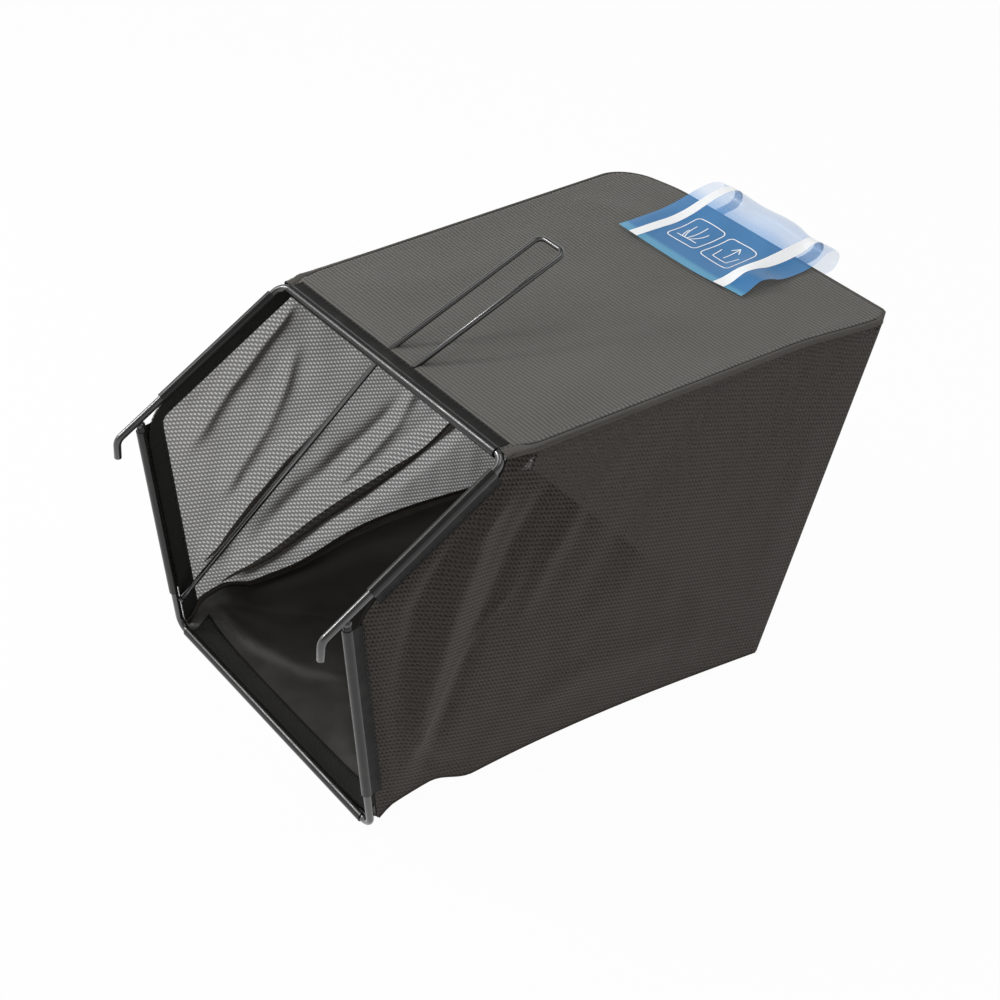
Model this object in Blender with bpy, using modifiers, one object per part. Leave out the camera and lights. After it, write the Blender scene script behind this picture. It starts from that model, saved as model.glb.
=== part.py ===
"""Grass box of a push mower: a sewn fabric bag carried by a welded wire frame.

X is the width, +Y points from the mouth to the rear and +Z up. The origin lies on the floor,
under the middle of the bottom bar.
"""
import math

import bmesh
import bpy
from mathutils import Matrix, Vector

# Driving sizes, in metres

# Wire frame: places are given from the centre line of the bottom bar
FRAME_HALF_WIDTH = 0.160
FRAME_WIRE_RADIUS = 0.0035
THIN_WIRE_RADIUS = 0.0025
TOP_BAR_BACK = 0.1142
TOP_BAR_RISE = 0.3436
SHOULDER_FORWARD = 0.0343
SHOULDER_RISE = 0.2504
TOP_BEND_RADIUS = 0.012
BOTTOM_BEND_RADIUS = 0.012
HOOK_REACH = 0.0263
HOOK_DROP = 0.018
HOOK_BEND_RADIUS = 0.010

# Carrying handle, and the brace that its left leg runs on into
HANDLE_HALF_WIDTH = 0.017
HANDLE_REACH = 0.172
HANDLE_RISE = 0.068
HANDLE_CORNER_RADIUS = 0.008
HANDLE_BEND_BACK = 0.0067
HANDLE_BEND_DROP = 0.0005
BRACE_BEND_RADIUS = 0.006
BRACE_FOOT_RISE = 0.026

# Rear hoop, a wire under the top edges of the bag
HOOP_FRONT_INSET = 0.012
HOOP_INSET = 0.009
HOOP_DROP = 0.0049
HOOP_CORNER_RADIUS = 0.025

# Snap-on clips: a C that grips the wire and a flange that the fabric is sewn to
CLIP_WALL = 0.0010
CLIP_FLANGE = 0.0080
CLIP_LIP_ANGLE = math.radians(280)
TOP_CLIP_END_INSET = 0.012
BOTTOM_CLIP_END_INSET = 0.013
UPPER_CLIP_FROM_TOP = 0.014
UPPER_CLIP_TO_SHOULDER = 0.027
LOWER_CLIP_TO_SHOULDER = 0.012
LOWER_CLIP_FROM_BOTTOM = 0.044

# Fabric bag
FABRIC = 0.0012
HEM_TAPE = 0.0008
HEM_WIDTH = 0.018
TOP_HEM_SET_BACK = 0.003
HEM_SHOULDER_RADIUS = 0.032
BINDING_RADIUS = 0.0015
REAR_TOP_BACK = 0.5366
REAR_TOP_HEIGHT = 0.3572
REAR_TOP_HALF_WIDTH = 0.1742
REAR_TOP_CORNER_RADIUS = 0.035
REAR_BOTTOM_BACK = 0.4541
REAR_BOTTOM_HALF_WIDTH = 0.180
REAR_BOTTOM_CORNER_RADIUS = 0.010
SIDE_BULGE = 0.005
REAR_BULGE = 0.004
TOP_SAG = 0.004
BOTTOM_EDGE_ARCH = 0.019
BOTTOM_MIDDLE_ARCH = 0.006
ARCH_SKEW = 0.75

# Film flap that shows how full the box is
FILM = 0.0006
FLAP_HALF_WIDTH = 0.081
FLAP_REACH = 0.090
FLAP_OVERHANG = 0.047
FLAP_CURL_RISE = 0.015
FLAP_CURL_RADIUS = 0.0125
FLAP_LIFT_OFF = 0.024
FLAP_ROOT_DROP = 0.008

# Clearances
GAP = 0.0003
SEAM_GAP = 0.0007
HEM_CLEARANCE = 0.0007
HEM_GAP = 0.0006
BINDING_GAP = 0.0006
WELD_THROAT = 0.0008

# Places that follow from the sizes
CLIP_INNER = FRAME_WIRE_RADIUS + GAP
CLIP_OUTER = CLIP_INNER + CLIP_WALL
BAR_HEIGHT = CLIP_OUTER
TOP_BAR_HEIGHT = BAR_HEIGHT + TOP_BAR_RISE
BOTTOM_CORNER = Vector((FRAME_HALF_WIDTH, 0, BAR_HEIGHT))
SHOULDER = Vector((FRAME_HALF_WIDTH, -SHOULDER_FORWARD, BAR_HEIGHT + SHOULDER_RISE))
TOP_CORNER = Vector((FRAME_HALF_WIDTH, TOP_BAR_BACK, TOP_BAR_HEIGHT))
LEG_WAY = (SHOULDER - BOTTOM_CORNER).normalized()
HOOK_WAY = (TOP_CORNER - SHOULDER).normalized()
FABRIC_START = CLIP_OUTER + HEM_CLEARANCE
FLANGE_END = CLIP_OUTER + CLIP_FLANGE
HOOP_FRONT_HALF_WIDTH = FRAME_HALF_WIDTH - HOOP_FRONT_INSET
TOP_CLIP_HALF_LENGTH = FRAME_HALF_WIDTH - TOP_CLIP_END_INSET
BOTTOM_CLIP_HALF_LENGTH = FRAME_HALF_WIDTH - BOTTOM_CLIP_END_INSET
MOUTH_HALF_WIDTH = FRAME_HALF_WIDTH + CLIP_INNER - GAP
TOP_FRONT = TOP_BAR_BACK + FABRIC_START
TOP_FRONT_HEIGHT = TOP_BAR_HEIGHT + CLIP_INNER - GAP
TOP_FLANGE_END = TOP_BAR_BACK + FLANGE_END
BOTTOM_FRONT_HEIGHT = BAR_HEIGHT - CLIP_INNER + GAP
SEAM_STEP = FABRIC + SEAM_GAP
BINDING_INSET = FABRIC + BINDING_GAP + BINDING_RADIUS
HANDLE_ROOT = Vector((-HANDLE_HALF_WIDTH, TOP_BAR_BACK, TOP_BAR_HEIGHT))
HANDLE_BEND = HANDLE_ROOT + Vector((0, HANDLE_BEND_BACK, -HANDLE_BEND_DROP))
HANDLE_END = HANDLE_ROOT + Vector((0, HANDLE_REACH, HANDLE_RISE))

# Fineness of the curved surfaces
BEND_STEPS = 6
WIRE_RESOLUTION = 3
CLIP_STEPS = 12
BEAD_SEGMENTS = 10
BEAD_RINGS = 7
WALL_ROWS = 10
CORNER_COLUMNS = 4
PANEL_COLUMNS = 10
PANEL_ROWS = 12


def lerp(low, high, share):
    return low + (high - low) * share


def clamp(share):
    return min(max(share, 0.0), 1.0)


def mirrored(point):
    return Vector((-point.x, point.y, point.z))


# Scene, collections and materials

def clear_scene():
    for obj in list(bpy.data.objects):
        bpy.data.objects.remove(obj, do_unlink=True)


def new_collection(name):
    collection = bpy.data.collections.new(name)
    bpy.context.scene.collection.children.link(collection)
    return collection


def new_material(name, colour, roughness, metallic=0.0, alpha=1.0):
    material = bpy.data.materials.new(name)
    material.use_nodes = True
    shader = material.node_tree.nodes["Principled BSDF"]
    shader.inputs["Base Color"].default_value = (*colour, 1.0)
    shader.inputs["Roughness"].default_value = roughness
    shader.inputs["Metallic"].default_value = metallic
    shader.inputs["Alpha"].default_value = alpha
    return material


# Modelling helpers

def rounded_path(corners, radii):
    """The corners joined by straight runs, with an arc in place of each inner corner."""
    points = [corners[0].copy()]
    for before, corner, after, radius in zip(corners, corners[1:], corners[2:], radii):
        back = (before - corner).normalized()
        ahead = (after - corner).normalized()
        half = back.angle(ahead) / 2
        sweep = math.pi - 2 * half
        centre = corner + (back + ahead).normalized() * (radius / math.sin(half))
        start = corner + back * (radius / math.tan(half)) - centre
        end = corner + ahead * (radius / math.tan(half)) - centre
        for step in range(BEND_STEPS + 1):
            turn = sweep * step / BEND_STEPS
            arm = (start * math.sin(sweep - turn) + end * math.sin(turn)) / math.sin(sweep)
            points.append(centre + arm)
    points.append(corners[-1].copy())
    return points


def tube(name, points, radius, material, collection):
    """A round wire along the points, with filled ends."""
    curve = bpy.data.curves.new(name, "CURVE")
    curve.dimensions = "3D"
    curve.bevel_depth = radius
    curve.bevel_resolution = WIRE_RESOLUTION
    curve.use_fill_caps = True
    spline = curve.splines.new("POLY")
    spline.points.add(len(points) - 1)
    for spot, point in zip(spline.points, points):
        spot.co = (*point, 1.0)
    curve.materials.append(material)
    obj = bpy.data.objects.new(name, curve)
    collection.objects.link(obj)
    return obj


def as_mesh(curve_object):
    """The evaluated curve as a mesh object of the same name, with its caps welded on."""
    name = curve_object.name
    collection = curve_object.users_collection[0]
    bpy.context.view_layer.update()
    evaluated = curve_object.evaluated_get(bpy.context.evaluated_depsgraph_get())
    mesh = bpy.data.meshes.new_from_object(evaluated)
    welded = bmesh.new()
    welded.from_mesh(mesh)
    bmesh.ops.remove_doubles(welded, verts=welded.verts, dist=1e-6)
    welded.to_mesh(mesh)
    welded.free()
    place = curve_object.matrix_world.copy()
    bpy.data.objects.remove(curve_object, do_unlink=True)
    obj = bpy.data.objects.new(name, mesh)
    obj.matrix_world = place
    collection.objects.link(obj)
    return obj


def cut(obj, cutters):
    for cutter in cutters:
        boolean = obj.modifiers.new("cut by " + cutter.name, "BOOLEAN")
        boolean.operation = "DIFFERENCE"
        boolean.object = cutter


def cutting_tube(name, points, radius, collection):
    """A cutter round a wire, run past both its ends so that it opens what they are welded to."""
    ends = (points[:2], points[:-3:-1])
    first, last = [end + (end - inner).normalized() * GAP for end, inner in ends]
    points = [first] + points[1:-1] + [last]
    cutter = as_mesh(tube(name, points, radius, new_material(name, (1, 0, 0), 0.5), collection))
    cutter.hide_render = True
    cutter.display_type = "WIRE"
    return cutter


def sheet(name, rows, thickness, material, collection):
    """A sheet with its outer face through rows of points, thickened inwards."""
    mesh = bpy.data.meshes.new(name)
    grid = bmesh.new()
    lines = [[grid.verts.new(point) for point in row] for row in rows]
    for low, high in zip(lines, lines[1:]):
        for corners in zip(low, low[1:], high[1:], high):
            grid.faces.new(corners)
    grid.to_mesh(mesh)
    grid.free()
    mesh.materials.append(material)
    mesh.shade_smooth()
    obj = bpy.data.objects.new(name, mesh)
    collection.objects.link(obj)
    solidify = obj.modifiers.new("thickness", "SOLIDIFY")
    solidify.thickness = thickness
    solidify.offset = -1
    solidify.use_even_offset = True
    return obj


# Outer faces of the bag

def rear_back(height):
    return lerp(REAR_BOTTOM_BACK, REAR_TOP_BACK, height / REAR_TOP_HEIGHT)


def rear_half_width(height):
    return lerp(REAR_BOTTOM_HALF_WIDTH, REAR_TOP_HALF_WIDTH, height / REAR_TOP_HEIGHT)


def corner_radius(height):
    return lerp(REAR_BOTTOM_CORNER_RADIUS, REAR_TOP_CORNER_RADIUS, height / REAR_TOP_HEIGHT)


def corner_start(height):
    return rear_back(height) - corner_radius(height)


def into_bag(way):
    """The direction in the side plane that points from a wire into the bag."""
    return Vector((0, way.z, -way.y))


def flange_back(height):
    """Where the clip flanges end at a height; the wall is flat in front of it."""
    lines = []
    for point, way in ((BOTTOM_CORNER, LEG_WAY), (TOP_CORNER, HOOK_WAY)):
        edge = point + into_bag(way) * FLANGE_END
        lines.append(edge.y + way.y * (height - edge.z) / way.z)
    return max(lines)


def side_x(y, height):
    """Half width of the bag at a place on the right wall."""
    start = corner_start(height)
    front = flange_back(height)
    share = clamp((y - front) / (start - front))
    bulge = SIDE_BULGE * math.sin(math.pi * share) * math.sin(math.pi * clamp(height / REAR_TOP_HEIGHT))
    x = lerp(MOUTH_HALF_WIDTH, rear_half_width(height), share) + bulge
    if y > start:
        radius = corner_radius(height)
        x -= radius - math.sqrt(max(radius ** 2 - (y - start) ** 2, 0.0))
    return x


def top_edge_height(y):
    """Height of the top seam: level under the top clip's flange, then a straight run to the rear."""
    share = clamp((y - TOP_FLANGE_END) / (REAR_TOP_BACK - TOP_FLANGE_END))
    return lerp(TOP_FRONT_HEIGHT, REAR_TOP_HEIGHT, share)


def top_height(side_share, y):
    """Height of the top panel; side_share runs from -1 at its left edge to 1 at its right edge."""
    dip = math.sin(math.pi * clamp((y - TOP_FLANGE_END) / (REAR_TOP_BACK - TOP_FLANGE_END)))
    return top_edge_height(y) - TOP_SAG * dip * (1 - side_share ** 2)


def bottom_arch(side_share, y):
    """How far the bottom panel arches up between the bar and its rear edge."""
    share = clamp((y - FLANGE_END) / (REAR_BOTTOM_BACK - FLANGE_END))
    rise = math.sin(math.pi * share ** ARCH_SKEW)
    return rise * lerp(BOTTOM_MIDDLE_ARCH, BOTTOM_EDGE_ARCH, side_share ** 2)


def bottom_height(side_share, y):
    """Height of the underside of the bottom panel."""
    share = (y - FABRIC_START) / (REAR_BOTTOM_BACK - FABRIC_START)
    return lerp(BOTTOM_FRONT_HEIGHT, 0.0, clamp(share)) + bottom_arch(side_share, y)


def wall_height(share, y):
    """Height of a side wall's row at a share of the way from its bottom seam to its top seam."""
    low = bottom_height(1, y) + SEAM_STEP
    return lerp(low, top_edge_height(y) - SEAM_STEP, share)


def mouth_edge(inset, top_limit, bottom_limit, radius):
    """Edge of the side fabric behind the wires, from the bottom to the top, as (y, z) points."""
    leg_in, hook_in = into_bag(LEG_WAY), into_bag(HOOK_WAY)
    corner = SHOULDER + (leg_in + hook_in) * (inset / (1 + leg_in.dot(hook_in)))
    low = corner + LEG_WAY * ((bottom_limit - corner.z) / LEG_WAY.z)
    high = corner + HOOK_WAY * ((top_limit - corner.z) / HOOK_WAY.z)
    return rounded_path([low, corner, high], [radius])


def point_at(path, share):
    """The point at a share of a path's length."""
    lengths = [(b - a).length for a, b in zip(path, path[1:])]
    left = share * sum(lengths)
    for start, end, length in zip(path, path[1:], lengths):
        if left <= length:
            return start.lerp(end, left / length)
        left -= length
    return path[-1].copy()


# Wires

def hook_wire_path():
    bend = SHOULDER - HOOK_WAY * HOOK_REACH
    tip = bend - Vector((0, 0, HOOK_DROP))
    right = [tip, bend, TOP_CORNER]
    corners = right + [mirrored(point) for point in reversed(right)]
    return rounded_path(corners, [HOOK_BEND_RADIUS, TOP_BEND_RADIUS, TOP_BEND_RADIUS, HOOK_BEND_RADIUS])


def butt_distance(along, across, radius, target_radius):
    """How far a wire's square end stays from the axis of the wire that it is welded to."""
    cosine = abs(along.normalized().dot(across.normalized()))
    sine = math.sqrt(1 - cosine ** 2)
    return (target_radius + GAP + radius * cosine) / sine


def lower_wire_path():
    stop = butt_distance(LEG_WAY, HOOK_WAY, FRAME_WIRE_RADIUS, FRAME_WIRE_RADIUS)
    end = SHOULDER - LEG_WAY * stop
    corners = [end, BOTTOM_CORNER, mirrored(BOTTOM_CORNER), mirrored(end)]
    return rounded_path(corners, [BOTTOM_BEND_RADIUS, BOTTOM_BEND_RADIUS])


def brace_foot():
    """End of the brace, square to its own line, just clear of the left leg."""
    leg = mirrored(BOTTOM_CORNER + LEG_WAY * (BRACE_FOOT_RISE / LEG_WAY.z))
    way = HANDLE_BEND - leg
    return leg + way.normalized() * butt_distance(way, LEG_WAY, THIN_WIRE_RADIUS, FRAME_WIRE_RADIUS)


def handle_right_end():
    """End of the right handle leg, on the leg's line, just clear of the back of the top bar."""
    way = (HANDLE_END - HANDLE_BEND).normalized()
    foot = HANDLE_BEND + way * (HANDLE_ROOT - HANDLE_BEND).dot(way)
    nearest = max((foot - HANDLE_ROOT).length - THIN_WIRE_RADIUS, 0.0)
    return mirrored(foot + way * math.sqrt((FRAME_WIRE_RADIUS + GAP) ** 2 - nearest ** 2))


def handle_path():
    corners = [brace_foot(), HANDLE_BEND, HANDLE_END, mirrored(HANDLE_END), handle_right_end()]
    return rounded_path(corners, [BRACE_BEND_RADIUS, HANDLE_CORNER_RADIUS, HANDLE_CORNER_RADIUS])


def hoop_path():
    front_y = TOP_BAR_BACK + FRAME_WIRE_RADIUS + GAP
    back_y = rear_back(REAR_TOP_HEIGHT) - HOOP_INSET
    back_x = rear_half_width(REAR_TOP_HEIGHT) - HOOP_INSET
    front = Vector((HOOP_FRONT_HALF_WIDTH, front_y, top_edge_height(front_y) - HOOP_DROP))
    back = Vector((back_x, back_y, top_edge_height(back_y) - HOOP_DROP))
    corners = [front, back, mirrored(back), mirrored(front)]
    return rounded_path(corners, [HOOP_CORNER_RADIUS, HOOP_CORNER_RADIUS])


def build_wires(parts, cutters, paint):
    wires = {
        "hook_wire": (hook_wire_path(), FRAME_WIRE_RADIUS),
        "lower_wire": (lower_wire_path(), FRAME_WIRE_RADIUS),
        "rear_hoop_wire": (hoop_path(), THIN_WIRE_RADIUS),
        "handle_brace_wire": (handle_path(), THIN_WIRE_RADIUS),
    }
    clearance = {}
    for name, (path, radius) in wires.items():
        tube(name, path, radius, paint, parts)
        clearance[name] = cutting_tube("clearance round " + name, path, radius + GAP, cutters)
    return clearance


def weld_bead(name, centre, radius, cutters, material, parts):
    mesh = bpy.data.meshes.new(name)
    ball = bmesh.new()
    bmesh.ops.create_uvsphere(ball, u_segments=BEAD_SEGMENTS, v_segments=BEAD_RINGS, radius=radius)
    ball.to_mesh(mesh)
    ball.free()
    mesh.materials.append(material)
    mesh.shade_smooth()
    bead = bpy.data.objects.new(name, mesh)
    bead.location = centre
    parts.objects.link(bead)
    cut(bead, cutters)


def build_welds(parts, clearance, paint):
    hook, lower = clearance["hook_wire"], clearance["lower_wire"]
    hoop, handle = clearance["rear_hoop_wire"], clearance["handle_brace_wire"]
    frame_bead = FRAME_WIRE_RADIUS + GAP + WELD_THROAT
    thin_bead = THIN_WIRE_RADIUS + GAP + WELD_THROAT
    leg_end = lower_wire_path()[0]
    weld_bead("right_shoulder_weld", leg_end, frame_bead, [hook, lower], paint, parts)
    weld_bead("left_shoulder_weld", mirrored(leg_end), frame_bead, [hook, lower], paint, parts)
    hoop_end = hoop_path()[0]
    weld_bead("right_hoop_weld", hoop_end, thin_bead, [hook, hoop], paint, parts)
    weld_bead("left_hoop_weld", mirrored(hoop_end), thin_bead, [hook, hoop], paint, parts)
    weld_bead("right_handle_weld", handle_right_end(), thin_bead, [hook, handle], paint, parts)
    weld_bead("brace_foot_weld", brace_foot(), thin_bead, [lower, handle], paint, parts)
    aside = THIN_WIRE_RADIUS + 2 * WELD_THROAT
    behind = FRAME_WIRE_RADIUS + GAP + WELD_THROAT - HANDLE_BEND_BACK
    beside = Vector((aside, behind, -THIN_WIRE_RADIUS / 4))
    weld_bead("left_handle_weld", HANDLE_BEND + beside, thin_bead, [hook, handle], paint, parts)


# Clips

def clip_outline():
    """Cross-section: x runs from the wire's axis into the bag, y towards the outside."""
    angles = [lerp(math.pi / 2, CLIP_LIP_ANGLE, step / CLIP_STEPS) for step in range(CLIP_STEPS + 1)]
    outer = [(CLIP_OUTER * math.cos(a), CLIP_OUTER * math.sin(a)) for a in angles]
    inner = [(CLIP_INNER * math.cos(a), CLIP_INNER * math.sin(a)) for a in reversed(angles)]
    return [(FLANGE_END, CLIP_OUTER)] + outer + inner + [(FLANGE_END, CLIP_INNER)]


def clip(name, start, end, outwards, material, parts):
    """A clip on the wire between two points, with its flange inwards of the wire."""
    along = (end - start).normalized()
    inwards = along.cross(outwards)
    curve = bpy.data.curves.new(name, "CURVE")
    curve.dimensions = "2D"
    curve.fill_mode = "BOTH"
    curve.extrude = (end - start).length / 2
    outline = clip_outline()
    spline = curve.splines.new("POLY")
    spline.points.add(len(outline) - 1)
    for spot, (x, y) in zip(spline.points, outline):
        spot.co = (x, y, 0, 1)
    spline.use_cyclic_u = True
    curve.materials.append(material)
    obj = bpy.data.objects.new(name, curve)
    turn = Matrix((inwards, outwards, inwards.cross(outwards))).transposed()
    obj.matrix_world = Matrix.Translation((start + end) / 2) @ turn.to_4x4()
    parts.objects.link(obj)
    return as_mesh(obj)


def build_clips(parts, handle_clearance, plastic):
    up, right = Vector((0, 0, 1)), Vector((1, 0, 0))
    top_bar = Vector((0, TOP_BAR_BACK, TOP_BAR_HEIGHT))
    bottom_bar = Vector((0, 0, BAR_HEIGHT))
    reach = right * TOP_CLIP_HALF_LENGTH
    top = clip("top_clip", top_bar + reach, top_bar - reach, up, plastic, parts)
    cut(top, [handle_clearance])
    reach = right * BOTTOM_CLIP_HALF_LENGTH
    clip("bottom_clip", bottom_bar - reach, bottom_bar + reach, -up, plastic, parts)
    upper = (SHOULDER + HOOK_WAY * UPPER_CLIP_TO_SHOULDER, TOP_CORNER - HOOK_WAY * UPPER_CLIP_FROM_TOP)
    lower = (BOTTOM_CORNER + LEG_WAY * LOWER_CLIP_FROM_BOTTOM, SHOULDER - LEG_WAY * LOWER_CLIP_TO_SHOULDER)
    for place, (low, high) in (("upper", upper), ("lower", lower)):
        clip("right_" + place + "_clip", low, high, right, plastic, parts)
        clip("left_" + place + "_clip", mirrored(high), mirrored(low), -right, plastic, parts)


# Fabric panels

def row_places(front_y, start):
    """Where the rows of a panel lie, from its front edge to the start of its rear corners."""
    hem_end = front_y + HEM_WIDTH
    hem = [front_y, lerp(front_y, hem_end, 0.5)]
    return hem + [lerp(hem_end, start, row / PANEL_ROWS) for row in range(PANEL_ROWS)]


def side_rows(side):
    """Rows of the side wall from its bottom edge to its top edge; side is 1 right, -1 left."""
    limits = (top_edge_height(TOP_FRONT) - SEAM_STEP, BOTTOM_FRONT_HEIGHT + SEAM_STEP)
    edge = mouth_edge(FABRIC_START, *limits, HEM_SHOULDER_RADIUS)
    rows = []
    for row in range(WALL_ROWS + 1):
        share = row / WALL_ROWS
        front = point_at(edge, share)
        back_z = wall_height(share, REAR_TOP_BACK)
        radius = corner_radius(back_z)
        start = corner_start(back_z)
        last = math.pi / 4 - SEAM_GAP / 2 / radius
        places = row_places(front.y, start)
        angles = [last * step / CORNER_COLUMNS for step in range(CORNER_COLUMNS + 1)]
        places += [start + radius * math.sin(angle) for angle in angles]
        drop = front.z - wall_height(share, front.y)
        points = []
        for y in places:
            along = (y - front.y) / (places[-1] - front.y)
            z = wall_height(share, y) + drop * (1 - along)
            points.append(Vector((side * side_x(y, z), y, z)))
        rows.append(points if side > 0 else points[::-1])
    return rows


def rear_rows():
    rows = []
    for row in range(WALL_ROWS + 1):
        share = row / WALL_ROWS
        z = lerp(SEAM_STEP, REAR_TOP_HEIGHT - SEAM_STEP - FABRIC / 2, share)
        radius = corner_radius(z)
        first = math.pi / 4 + SEAM_GAP / 2 / radius
        angles = [lerp(first, math.pi / 2, step / CORNER_COLUMNS) for step in range(CORNER_COLUMNS + 1)]
        flat = rear_half_width(z) - radius
        right = [(flat + radius * math.cos(a), corner_start(z) + radius * math.sin(a)) for a in angles]
        middle = []
        for column in range(1, PANEL_COLUMNS):
            x = lerp(flat, -flat, column / PANEL_COLUMNS)
            bulge = REAR_BULGE * math.cos(math.pi / 2 * x / flat) * math.sin(math.pi * share)
            middle.append((x, rear_back(z) + bulge))
        left = [(-x, y) for x, y in reversed(right)]
        rows.append([Vector((x, y, z)) for x, y in right + middle + left])
    return rows


def level_rows(front_y, back_y, height, surface):
    """Rows across a top or bottom panel from front to rear, narrowing round its rear corners."""
    start = back_y - corner_radius(height)
    places = row_places(front_y, start)
    quarter = 2 * CORNER_COLUMNS
    places += [lerp(start, back_y, math.sin(math.pi / 2 * step / quarter)) for step in range(quarter + 1)]
    rows = []
    for y in places:
        half_width = side_x(y, height)
        shares = [lerp(-1, 1, column / PANEL_COLUMNS) for column in range(PANEL_COLUMNS + 1)]
        rows.append([Vector((half_width * share, y, surface(share, y))) for share in shares])
    return rows


def build_panels(parts, handle_clearance, top_fabric, side_mesh, floor_fabric):
    top = level_rows(TOP_FRONT, REAR_TOP_BACK, REAR_TOP_HEIGHT, top_height)
    cut(sheet("top_panel", top, FABRIC, top_fabric, parts), [handle_clearance])
    bottom = level_rows(FABRIC_START, REAR_BOTTOM_BACK, 0.0, bottom_height)
    sheet("bottom_panel", [row[::-1] for row in bottom], FABRIC, floor_fabric, parts)
    sheet("right_mesh_panel", side_rows(1), FABRIC, side_mesh, parts)
    sheet("left_mesh_panel", side_rows(-1), FABRIC, side_mesh, parts)
    sheet("rear_panel", rear_rows(), FABRIC, side_mesh, parts)


# Hem tapes round the mouth and bindings along the seams, inside the bag

def side_hem_rows(side):
    seam = BINDING_INSET + BINDING_RADIUS + GAP
    limits = (top_edge_height(TOP_FRONT) - seam, bottom_height(1, FABRIC_START + HEM_WIDTH) + seam)
    outer = mouth_edge(FABRIC_START, *limits, HEM_SHOULDER_RADIUS)
    inner = mouth_edge(FABRIC_START + HEM_WIDTH, *limits, HEM_SHOULDER_RADIUS - HEM_WIDTH)
    rows = []
    for path in (outer, inner):
        points = [point_at(path, share / WALL_ROWS) for share in range(WALL_ROWS + 1)]
        inside = FABRIC + HEM_GAP
        rows.append([Vector((side * (side_x(p.y, p.z) - inside), p.y, p.z)) for p in points])
    return rows[::-1] if side > 0 else rows


def level_hem_rows(front_y, set_back, half_length, height, surface, step_in):
    places = [lerp(-half_length, half_length, column / PANEL_COLUMNS) for column in range(PANEL_COLUMNS + 1)]
    rows = []
    for y in (front_y + set_back, front_y + HEM_WIDTH / 2, front_y + HEM_WIDTH):
        rows.append([Vector((x, y, surface(x / side_x(y, height), y) + step_in)) for x in places])
    return rows


def build_hems(parts, handle_clearance, tape):
    sheet("right_mouth_hem", side_hem_rows(1), HEM_TAPE, tape, parts)
    sheet("left_mouth_hem", side_hem_rows(-1), HEM_TAPE, tape, parts)
    step_in = FABRIC + GAP
    between_rails = HOOP_FRONT_HALF_WIDTH - THIN_WIRE_RADIUS - 2 * WELD_THROAT
    top = level_hem_rows(TOP_FRONT, TOP_HEM_SET_BACK, between_rails, REAR_TOP_HEIGHT, top_height, -step_in)
    cut(sheet("top_mouth_hem", top, HEM_TAPE, tape, parts), [handle_clearance])
    bottom = level_hem_rows(FABRIC_START, 0.0, BOTTOM_CLIP_HALF_LENGTH, 0.0, bottom_height, step_in)
    sheet("bottom_mouth_hem", [row[::-1] for row in bottom], HEM_TAPE, tape, parts)


def seam_path(front_y, height, edge_height, inwards):
    """Inner corner line round a level panel: right side, rear and left side."""
    level = height + inwards * BINDING_INSET
    radius = corner_radius(level) - BINDING_INSET
    start = corner_start(level)
    flat = rear_half_width(level) - corner_radius(level)
    right = []
    for y in row_places(front_y, start)[1:]:
        z = edge_height(y) + inwards * BINDING_INSET
        right.append(Vector((side_x(y, z) - BINDING_INSET, y, z)))
    for step in range(2 * CORNER_COLUMNS + 1):
        angle = math.pi / 4 * step / CORNER_COLUMNS
        y = start + radius * math.sin(angle)
        z = edge_height(y) + inwards * BINDING_INSET
        right.append(Vector((flat + radius * math.cos(angle), y, z)))
    return right + [mirrored(point) for point in reversed(right)]


def corner_seam_path():
    """Inner line of the right rear corner, from the bottom binding to the top one."""
    clear = 2 * BINDING_INSET + BINDING_RADIUS
    points = []
    for step in range(CORNER_COLUMNS + 1):
        z = lerp(clear, REAR_TOP_HEIGHT - clear, step / CORNER_COLUMNS)
        reach = (corner_radius(z) - BINDING_INSET) / math.sqrt(2)
        points.append(Vector((rear_half_width(z) - corner_radius(z) + reach, corner_start(z) + reach, z)))
    return points


def build_bindings(parts, tape):
    top = seam_path(TOP_FRONT + HEM_WIDTH, REAR_TOP_HEIGHT, top_edge_height, -1)
    tube("top_seam_binding", top, BINDING_RADIUS, tape, parts)
    bottom = seam_path(FABRIC_START, 0.0, lambda y: bottom_height(1, y), 1)
    tube("bottom_seam_binding", bottom, BINDING_RADIUS, tape, parts)
    corner = corner_seam_path()
    tube("right_rear_seam_binding", corner, BINDING_RADIUS, tape, parts)
    tube("left_rear_seam_binding", [mirrored(p) for p in corner], BINDING_RADIUS, tape, parts)


# Level flap

def flap_path():
    """Side view of the film from its free front edge, over the curl, to its root at the seam."""
    lie = GAP + FILM
    root_z = REAR_TOP_HEIGHT - FLAP_ROOT_DROP
    root = Vector((0, rear_back(root_z) + lie + GAP, root_z))
    front_y = REAR_TOP_BACK - FLAP_REACH
    lift_y = REAR_TOP_BACK - FLAP_LIFT_OFF
    curl_y = REAR_TOP_BACK + FLAP_OVERHANG
    curl_top = REAR_TOP_HEIGHT + FLAP_CURL_RISE
    curl_bottom = curl_top - 2 * FLAP_CURL_RADIUS - FILM
    corners = [
        Vector((0, front_y, top_edge_height(front_y) + lie)),
        Vector((0, lift_y, top_edge_height(lift_y) + lie)),
        Vector((0, REAR_TOP_BACK + FLAP_OVERHANG / 4, curl_top)),
        Vector((0, curl_y, curl_top)),
        Vector((0, curl_y, curl_bottom)),
        root,
    ]
    return rounded_path(corners, [2 * FLAP_OVERHANG, FLAP_OVERHANG / 2, FLAP_CURL_RADIUS, FLAP_CURL_RADIUS])


def build_flap(parts, film):
    path = flap_path()
    edges = [[Vector((x, p.y, p.z)) for p in path] for x in (FLAP_HALF_WIDTH, -FLAP_HALF_WIDTH)]
    sheet("level_flap", edges, FILM, film, parts)


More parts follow.
